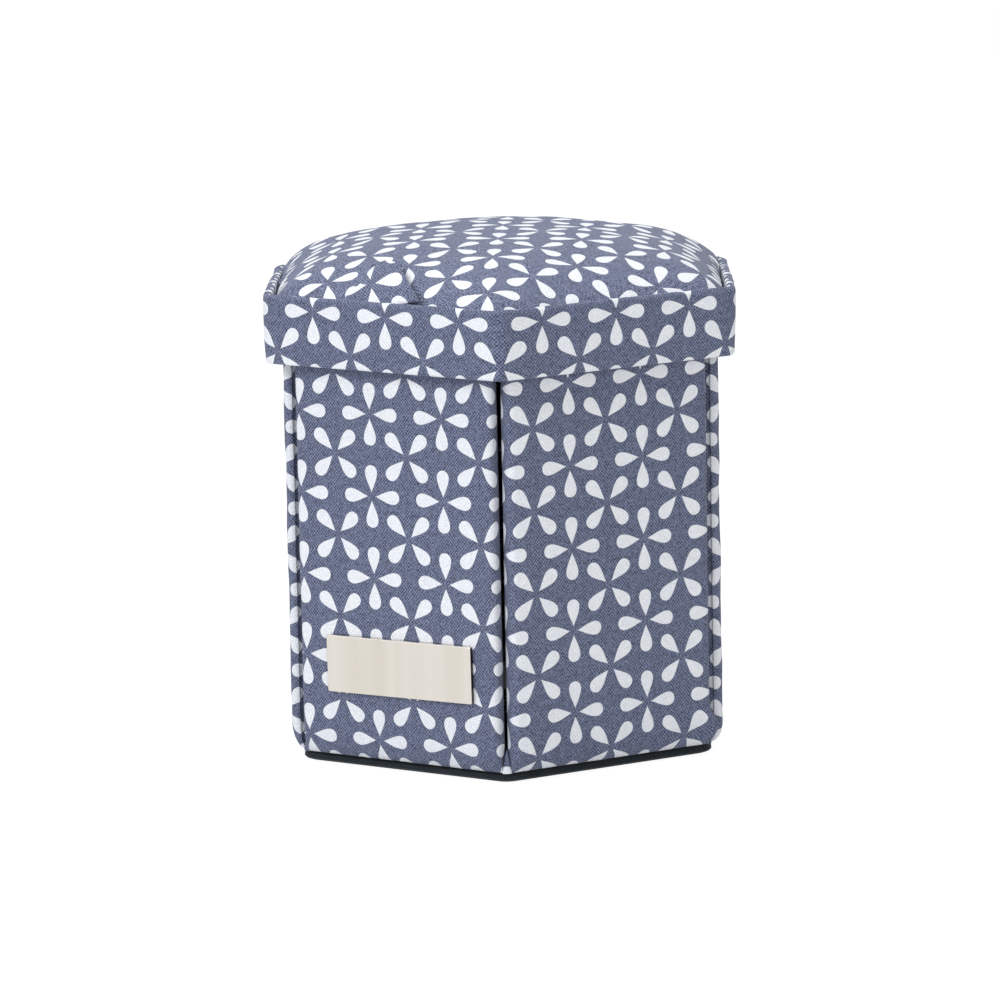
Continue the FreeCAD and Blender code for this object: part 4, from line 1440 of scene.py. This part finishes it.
@dataclass(frozen=True)
class Lid:
    """The lift-off lid: a printed rim round a crowned pincushion."""

    rim_flare: float = 0.4
    rim_sag: float = 2.2
    rim_lean: float = 0.3
    rim_corner: float = 3.0
    lip_low: float = 101.0
    sag_from: float = -24.0  # the lip sags from this place, towards the back
    sag_over: float = 46.0
    crown_round: float = 9.0
    edge_sharp: float = 45.0
    shoulder: float = 3.0
    crown_flat: float = 1.5
    edge_band: float = 2.6
    overhang: float = 0.7
    rows: int = 120
    columns: int = 480
    fold: tuple = ((-25.8, -26.8), (-22.2, -31.6), (-21.1, -34.5), (-19.3, -40.9), (-17.1, -46.2))
    merge: tuple = ((-26.4, -26.6), (-29.3, -30.6), (-31.6, -34.2), (-34.2, -36.6), (-35.6, -38.4))
    # dents along the dome's edge: place, depth and width
    dents: tuple = ((-44.4, -29.2, 0.8, 1.6), (-35.4, -35.6, 0.9, 1.8), (-7.2, -51.0, 0.6, 1.6),
                    (30.0, -41.5, 0.4, 2.0), (13.0, -47.5, 0.9, 3.5), (23.0, -42.0, 1.1, 3.5),
                    (33.0, -36.5, 0.8, 3.5))
    groove_depth: float = 3.4
    pleat_thick: float = 0.4
    pleat_print: tuple = (-28.0, -35.9, 109.4)

    def rim_section(self) -> Array:
        """Draws the rim's cotton, cut across.

        Returns:
            Distance from the axis and height, with the first point repeated at the end.
        """
        low, high, outer, inner = RIM_FOOT, RIM_TOP, RIM_OUTER, RIM_INNER
        section = rounded(
            [(inner, low), (outer - 0.05, low), (outer + self.rim_flare, high + 0.15),
             (inner + 0.35, high + 0.05), (inner + 0.15, CUSHION_LOW), (inner, LID_BOARD_LOW - 0.4)],
            [0.6, 0.75, 0.95, 0.7, 0.15, 0.15], [4, 5, 8, 6, 2, 2], [2, 26, 1, 8, 1, 8])
        return np.concatenate([section, section[:1]])

    def rim(self) -> Surface:
        """Makes the rim's cotton: crisp below, a soft lip above and turned in on both sides.

        Returns:
            The closed surface with the print laid on it.
        """
        low, high, outer = RIM_FOOT, RIM_TOP, RIM_OUTER
        section = self.rim_section()
        along = lengths(section)
        start = int(np.argmax(section[:, 0] > outer - 0.02))
        along = along - along[start] + section[start, 1]
        ripple, edge = Ripple(0.07, 7, 24, 21), Ripple(0.05, 3, 8, 22)
        around = lengths(hexagon(outer, self.rim_corner, 8, 40), True)
        around -= around[-1] / 2
        # the print takes up 1.75 mm where it passes the front corner
        u = np.where(around > -3, around - np.clip((around + 3) / 12, 0, 1) * 1.75, around)
        rows, flats = [], []
        for (a, z), v in zip(section, along):
            ring = hexagon(a, max(0.8, self.rim_corner + (a - outer)), 8, 40)
            way = ring / np.linalg.norm(ring, axis=1, keepdims=True)
            front = a > (RIM_INNER + outer) / 2
            swell = 0.15 * math.sin(math.pi * (z - low) / (high - low)) - 0.1
            lift = front * (ripple.at(around[:-1], v) + swell)
            lip = edge.at(around[:-1], 3.0) * np.clip((z - high + 4) / 4, 0, 1)
            sag = np.clip((ring[:, 1] - self.sag_from) / self.sag_over, 0, 1) ** 1.2
            soft = np.clip((z - self.lip_low) / (high - self.lip_low), 0, 1) * sag
            out = way * (lift - self.rim_lean * soft)[:, None]
            rows.append(np.column_stack([ring + out, z + lip - self.rim_sag * soft]))
            flats.append(paired(u, v))
        flat = PrintPlace(-26.8, 103.5, 0.0, 18.65).laid(np.stack(flats))
        return Surface.grid(np.stack(rows), flat, closed=True).outward()

    def outline(self, share: Array | float, angle: Array) -> Array:
        """Draws the dome from above: six-sided at its edge, rounder towards the crown.

        Args:
            share: How far out, from 0 at the crown to 1 at the edge.
            angle: The directions.

        Returns:
            The dome's reach in each direction.
        """
        sharp = self.crown_round + self.edge_sharp * share**5
        sides = sum(np.abs(np.cos(angle - math.radians(f))) ** sharp for f in (0, 60, 120))
        return DOME_APOTHEM * share / sides ** (1 / sharp)

    def rise(self, share: Array | float) -> Array | float:
        """Gives the dome's height that far out: a flat crown and full shoulders."""
        return DOME_EDGE + DOME_RISE * (1 - share**self.shoulder) ** (1 / self.crown_flat)

    def dome(self) -> Surface:
        """Makes the pincushion, with a puckered edge sunk in the rim.

        Returns:
            The closed surface with the print laid on it.
        """
        angle = math.radians(90) + np.linspace(0, TURN, self.columns, endpoint=False)
        way = np.stack([np.cos(angle), np.sin(angle)], -1)
        shares = np.sin(np.linspace(math.pi / 2, 0.02, self.rows))
        places = np.stack([level(way * self.outline(s, angle)[:, None], self.rise(s))
                           for s in (1.0, 1.0, *shares)])
        places[0, :, 2], places[1, :, 2] = CUSHION_LOW + 0.1, DOME_EDGE - 1.6
        places[0, :, :2] *= 0.985
        x, y = places[..., 0], places[..., 1]
        steps = np.linalg.norm(np.diff(places[::-1], axis=0), axis=2)
        along = np.concatenate([np.hypot(x[-1], y[-1])[None], steps]).cumsum(0)[::-1]
        edge = np.exp(-((np.maximum(places[..., 2] - DOME_EDGE, 0) / self.edge_band) ** 2))
        swell, pucker = Ripple(0.12, 10, 34, 31), Ripple(0.2, 3.0, 8.0, 32)
        lift = swell.at(x, y) * (1 - edge) + pucker.at(angle[None] * 52, along * 0.12) * edge
        for dent_x, dent_y, deep, wide in self.dents:
            lift -= deep * np.exp(-((x - dent_x) ** 2 + (y - dent_y) ** 2) / (2 * wide**2))
        lift -= self.groove(x + self.overhang, y)
        places[..., 2] += lift * (1 - 0.5 * edge)
        places[..., :2] += way[None] * (lift * edge * 0.6)[..., None]
        laid = PrintPlace(-1.2, -33.0, -3.2, 18.7).laid(way[None] * along[..., None])
        return Surface.solid(places, laid)

    def height(self, x: Array, y: Array) -> Array:
        """Finds the dome's height over a place by halving.

        Args:
            x: Places to the right.
            y: Places to the back.

        Returns:
            The height over each place.
        """
        angle, away = np.arctan2(y, x), np.hypot(x, y)
        low, high = np.zeros_like(away), np.ones_like(away)
        for _ in range(30):
            middle = (low + high) / 2
            inside = self.outline(middle, angle) > away
            high, low = np.where(inside, middle, high), np.where(inside, low, middle)
        return self.rise(low)

    def outwards(self, x: Array, y: Array, step: float = 0.4) -> Array:
        """Finds the direction that the dome's surface looks in over a place.

        Args:
            x: Places to the right.
            y: Places to the back.
            step: How far apart the heights are compared.

        Returns:
            One direction for each place.
        """
        slope_x = (self.height(x + step, y) - self.height(x - step, y)) / (2 * step)
        slope_y = (self.height(x, y + step) - self.height(x, y - step)) / (2 * step)
        way = np.stack([-slope_x, -slope_y, np.ones_like(slope_x)], -1)
        return way / np.linalg.norm(way, axis=-1, keepdims=True)

    def groove(self, x: Array, y: Array) -> Array:
        """Works out how far the dome dips beside and under the pleat's fold.

        Args:
            x: Places to the right.
            y: Places to the back.

        Returns:
            The depth at each place.
        """
        best, side, share = np.full(x.shape, 1e6), np.zeros(x.shape), np.zeros(x.shape)
        fold = np.array(self.fold)
        along = lengths(fold) / lengths(fold)[-1]
        for i in range(len(fold) - 1):
            way = fold[i + 1] - fold[i]
            t = np.clip(((x - fold[i, 0]) * way[0] + (y - fold[i, 1]) * way[1]) / (way @ way), 0, 1)
            dx, dy = x - fold[i, 0] - t * way[0], y - fold[i, 1] - t * way[1]
            near = np.hypot(dx, dy)
            closer = near < best
            best = np.where(closer, near, best)
            side = np.where(closer, np.sign(dx * -way[1] + dy * way[0]), side)
            share = np.where(closer, along[i] + t * (along[i + 1] - along[i]), share)
        full = np.interp(share, [0, 0.12, 0.3, 0.55, 0.9, 1], [0, 1.1, 0.8, 1.0, 1.1, 0.8])
        # steep on the open side, gentle under the fold
        fade = np.where(side > 0, np.exp(-((best / 1.25) ** 1.5)), np.exp(-((best / 2.6) ** 2)))
        return self.groove_depth * full * fade

    def pleat(self) -> Surface:
        """Makes the pressed-down fold of spare cloth at the left front of the dome.

        Returns:
            The closed surface with the print laid on it.
        """
        t, fold, merge = np.linspace(0, 1, 48), np.array(self.fold), np.array(self.merge)
        right = along_line(fold, t * lengths(fold)[-1])
        left = np.stack([np.interp(t, np.linspace(0, 1, len(merge)), column) for column in merge.T], -1)
        across = np.concatenate([[-0.012, 0.0, 0.012, 0.03, 0.06], np.linspace(0.1, 1, 30)])
        crest = np.interp(across, [-0.012, 0.0, 0.012, 0.03, 0.1, 0.35, 0.7, 1.0],
                          [0.55, 0.86, 0.96, 1.0, 1.0, 0.8, 0.5, -0.1])
        full = np.interp(t, [0, 0.1, 0.3, 0.8, 1.0], [0.1, 1.0, 1.7, 1.7, 1.3])
        spots = right[:, None] * (1 - across[None, :, None]) + left[:, None] * across[None, :, None]
        x, y = spots[..., 0], spots[..., 1]
        way = self.outwards(x, y)
        top = np.stack([x, y, self.height(x, y)], -1) + way * (full[:, None] * crest[None])[..., None]
        both = np.concatenate([top, (top - way * self.pleat_thick)[:, ::-1]], axis=1)
        away = both - self.pleat_print
        flat = np.stack([away[..., 0], away[..., 1] * 0.19 + away[..., 2] * 0.98], -1)
        return Surface.solid(both, PrintPlace(0, 0, 9.0).laid(flat))

    def lining(self) -> Surface:
        """Makes the padded lining under the lid board.

        Returns:
            The closed surface.
        """
        a, z = RIM_INNER - 0.4, LID_LINING_LOW
        rings = [(a * s, z, 1.5) for s in (0.05, 0.2, 0.4, 0.6, 0.8, 0.93)]
        rings += [(a - 0.7, z + 0.05, 2.4), (a - 0.2, z + 0.35, 2.8), (a, z + 0.8, 3.0),
                  (a, LID_BOARD_LOW - 0.05, 3.0)]
        return hexagon_rings(rings)

    def build(self) -> list[Piece]:
        """Builds the lid's cloth.

        Returns:
            The pieces.
        """
        rim = settle(self.rim().piece("lid_rim_cloth", PRINT, 60), "lid", "printed_cotton", "lid_rim_cover")
        # the crown wears the lighter copy of the print, which is painted light
        dome = self.dome().piece("pincushion", PAINTED_LIGHT_CROWN, 75)
        settle(dome, "lid", "printed_cotton", "cushion_cover", "cushion_pad")
        pleat = settle(self.pleat().piece("pincushion_pleat", PRINT, 75), "lid", "printed_cotton")
        lining = self.lining().piece("lid_lining_cloth", LINING)
        settle(lining, "lid", "lining_cotton", "lid_lining")
        return [rim, dome, pleat, lining]


@dataclass(frozen=True)
class Hardware:
    """The part's own rigid nodes, which keep their shapes."""

    nodes: dict

    def finishes(self) -> dict[str, tuple[Finish, str]]:
        """Gives each rigid node's finish and material slot.

        Returns:
            Both by the node's name.
        """
        board, steel, grip = (BOARD, "grey_board"), (STEEL, "scissors_steel"), (GRIP, "scissors_grip")
        return {
            "name_plate": (NICKEL, "plate_nickel"),
            "plate_tape": (FOAM, "foam_tape"),
            "needle_card": (NEEDLE_CARD, "needle_card"),
            "needles": (NEEDLE_STEEL, "needle_steel"),
            **{f"scissors_{name}": steel for name in ("blade_lower", "blade_upper", "rivet")},
            **{f"scissors_{name}": grip for name in ("grip_lower", "grip_upper")},
            "thimble": (THIMBLE, "thimble_steel"),
            **{name: board for name in ("base_board", "lid_board", "lid_rim")},
            **{f"flap_{flap.name}_board": board for flap in FLAPS},
            **{f"reel_{name}_core": (REEL, "reel_plastic") for name in THREADS},
        }

    def build(self) -> list[Piece]:
        """Dresses the nodes.

        Returns:
            The pieces.
        """
        made = []
        for name, (finish, slot) in self.finishes().items():
            node = self.nodes[name]
            node.data.materials.clear()
            node.data.materials.append(finish.material())
            made.append(node)
        return made


@dataclass(frozen=True)
class Studio:
    """The camera, the pale floor and soft light from the upper left."""

    target: tuple[float, float, float] = (0.0, 0.0, 55.0)
    rise: float = math.radians(10.711)
    yaw: float = math.radians(0.583)
    roll: float = math.radians(-1.105)
    distance: float = 1340.9
    lens: float = 212.2
    sensor: float = 36.0
    shift: tuple[float, float] = (-0.00417, -0.00533)
    floor_reach: float = 8.0

    def camera(self) -> None:
        """Places the camera where the photograph was taken from."""
        e, a = self.rise, self.yaw
        back = np.array([math.sin(a) * math.cos(e), -math.cos(a) * math.cos(e), math.sin(e)])
        right = np.array([math.cos(a), math.sin(a), 0.0])
        up = np.cross(back, right)
        c, s = math.cos(self.roll), math.sin(self.roll)
        right, up = c * right + s * up, c * up - s * right
        data = bpy.data.cameras.new("camera")
        data.lens, data.sensor_width = self.lens, self.sensor
        data.shift_x, data.shift_y = self.shift
        data.clip_start, data.clip_end = 0.05, 50.0
        made = bpy.data.objects.new("camera", data)
        place = (self.target + back * self.distance) * MM
        made.matrix_world = Matrix([*np.column_stack([right, up, back, place]).tolist(), (0, 0, 0, 1)])
        bpy.context.scene.collection.objects.link(made)
        bpy.context.scene.camera = made

    def lamp(self, name: str, place: tuple, size: float, power: float, colour: str = "ffffff") -> None:
        """Hangs one square soft lamp that looks at the box.

        Args:
            name: The lamp's name.
            place: Where it hangs, in metres.
            size: Its side, in metres.
            power: Its power in watts.
            colour: Its light's colour.
        """
        data = bpy.data.lights.new(name, "AREA")
        data.size, data.energy, data.color = size, power, linear(colour)[:3]
        made = bpy.data.objects.new(name, data)
        made.location = place
        made.rotation_mode = "QUATERNION"
        made.rotation_quaternion = (Vector((0, 0, 0.06)) - Vector(place)).to_track_quat("-Z", "Y")
        bpy.context.scene.collection.objects.link(made)

    def seen(self, tree: Tree) -> Value:
        """Tells what the camera sees from light on other things.

        Args:
            tree: The node tree.

        Returns:
            1 for what is seen straight or by reflection, 0 for the rest.
        """
        rays = add(tree, "ShaderNodeLightPath", out="Is Camera Ray")
        glossy = rays.math("MAXIMUM", rays.part("Is Glossy Ray"))
        return glossy.math("MAXIMUM", rays.part("Is Transmission Ray"))

    def floor(self) -> None:
        """Lays a wide pale floor that shows white and keeps a faint shadow."""
        mesh, r = bpy.data.meshes.new("studio_floor"), self.floor_reach
        mesh.from_pydata([(-r, -r, 0), (r, -r, 0), (r, r, 0), (-r, r, 0)], [], [(0, 1, 2, 3)])
        made = bpy.data.objects.new("studio_floor", mesh)
        pale = bpy.data.materials.new("pale studio floor")
        pale.use_nodes = True
        tree = pale.node_tree
        tree.nodes.clear()
        matt = add(tree, "ShaderNodeBsdfDiffuse", {"Color": linear("f1f1f1")})
        glow = add(tree, "ShaderNodeEmission", {"Color": linear("ffffff"), "Strength": 1.12})
        both = add(tree, "ShaderNodeMixShader", {0: self.seen(tree) * 0.85, 1: matt, 2: glow})
        add(tree, "ShaderNodeOutputMaterial", {"Surface": both})
        mesh.materials.append(pale)
        bpy.context.scene.collection.objects.link(made)

    def world(self) -> None:
        """Fills the room with even white light, and shows white behind."""
        world = bpy.data.worlds.new("white room")
        world.use_nodes = True
        tree = world.node_tree
        tree.nodes.clear()
        strength = self.seen(tree) * 0.65 + 0.35
        sky = add(tree, "ShaderNodeBackground", {"Color": linear("ffffff"), "Strength": strength})
        add(tree, "ShaderNodeOutputWorld", {"Surface": sky})
        bpy.context.scene.world = world

    def build(self) -> None:
        """Sets up the whole studio."""
        self.camera()
        self.floor()
        self.world()
        self.lamp("key lamp", (-0.8, -0.85, 0.95), 0.5, 7.8, "f4f8ff")
        self.lamp("top lamp", (-0.1, 0.1, 1.3), 0.8, 8.7)
        self.lamp("front fill", (0.35, -1.4, 0.5), 0.6, 3.8)
        settings = bpy.context.scene.view_settings
        settings.view_transform = "Standard"
        settings.look = "None"


CLOSE = Edge(25.75, 25.75, 0.25)  # leaves no gap to the next flap at the hidden corners
CRISP = Edge(back=0.25)
STEPPED = Edge(step=0.9)

FLAPS = (
    Flap("front_left", -120, PrintPlace(13.67, 7.45, 0.57, 18.43), 1,
         right=Edge(25.2, 24.7, 0.4, lean=0.7, nick=0.5), crease=(7.8, 43.9)),
    Flap("front_right", -60, PrintPlace(8.34, -3.69, 0.37, 18.48), 2,
         left=Edge(25.4, 25.5, 0.4, lean=0.6, nick=0.5), right=Edge(25.1, 25.1), flare=3.4),
    Flap("right", 0, PrintPlace(-13.4, 53.0), 3, STEPPED, CLOSE, foot_rise=4.0, foot_depth=3.0),
    Flap("back_right", 60, PrintPlace(4.0, 11.0, -0.6), 4, CRISP, CLOSE),
    Flap("back_left", 120, PrintPlace(-6.0, 2.0, 0.5), 5, CRISP, CLOSE),
    Flap("left", 180, PrintPlace(13.4, 57.5), 6, CRISP, STEPPED),
)
# silky colours, one on each reel
THREADS = {
    "front_left": Thread("white thread", "f0efea", "d2d1cc"),
    "front_right": Thread("navy thread", "2a3658", "1b2440"),
    "back_right": Thread("red thread", "b3262e", "84161d"),
    "back_left": Thread("grey thread", "8d929b", "6c717a"),
}


def main() -> None:
    """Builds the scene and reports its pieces."""
    logging.basicConfig(level=logging.INFO, format="%(name)s: %(message)s")
    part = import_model()
    Studio().build()
    flaps = {flap.name: flap for flap in FLAPS}
    reels = [ThreadReel(flaps[name], thread) for name, thread in THREADS.items()]
    pockets = [Pocket(flaps["right"], 30.0, 2.4), Pocket(flaps["left"], 16.0, 6.6)]
    tape = TapeMeasure(flaps["left"])
    for assembly in (Hardware(part["nodes"]), Base(), *FLAPS, *reels, *pockets, tape, Lid()):
        for made in assembly.build():
            log.info("%s in %s", made.name, made.data.materials[0].name)


if __name__ == "__main__":
    main()
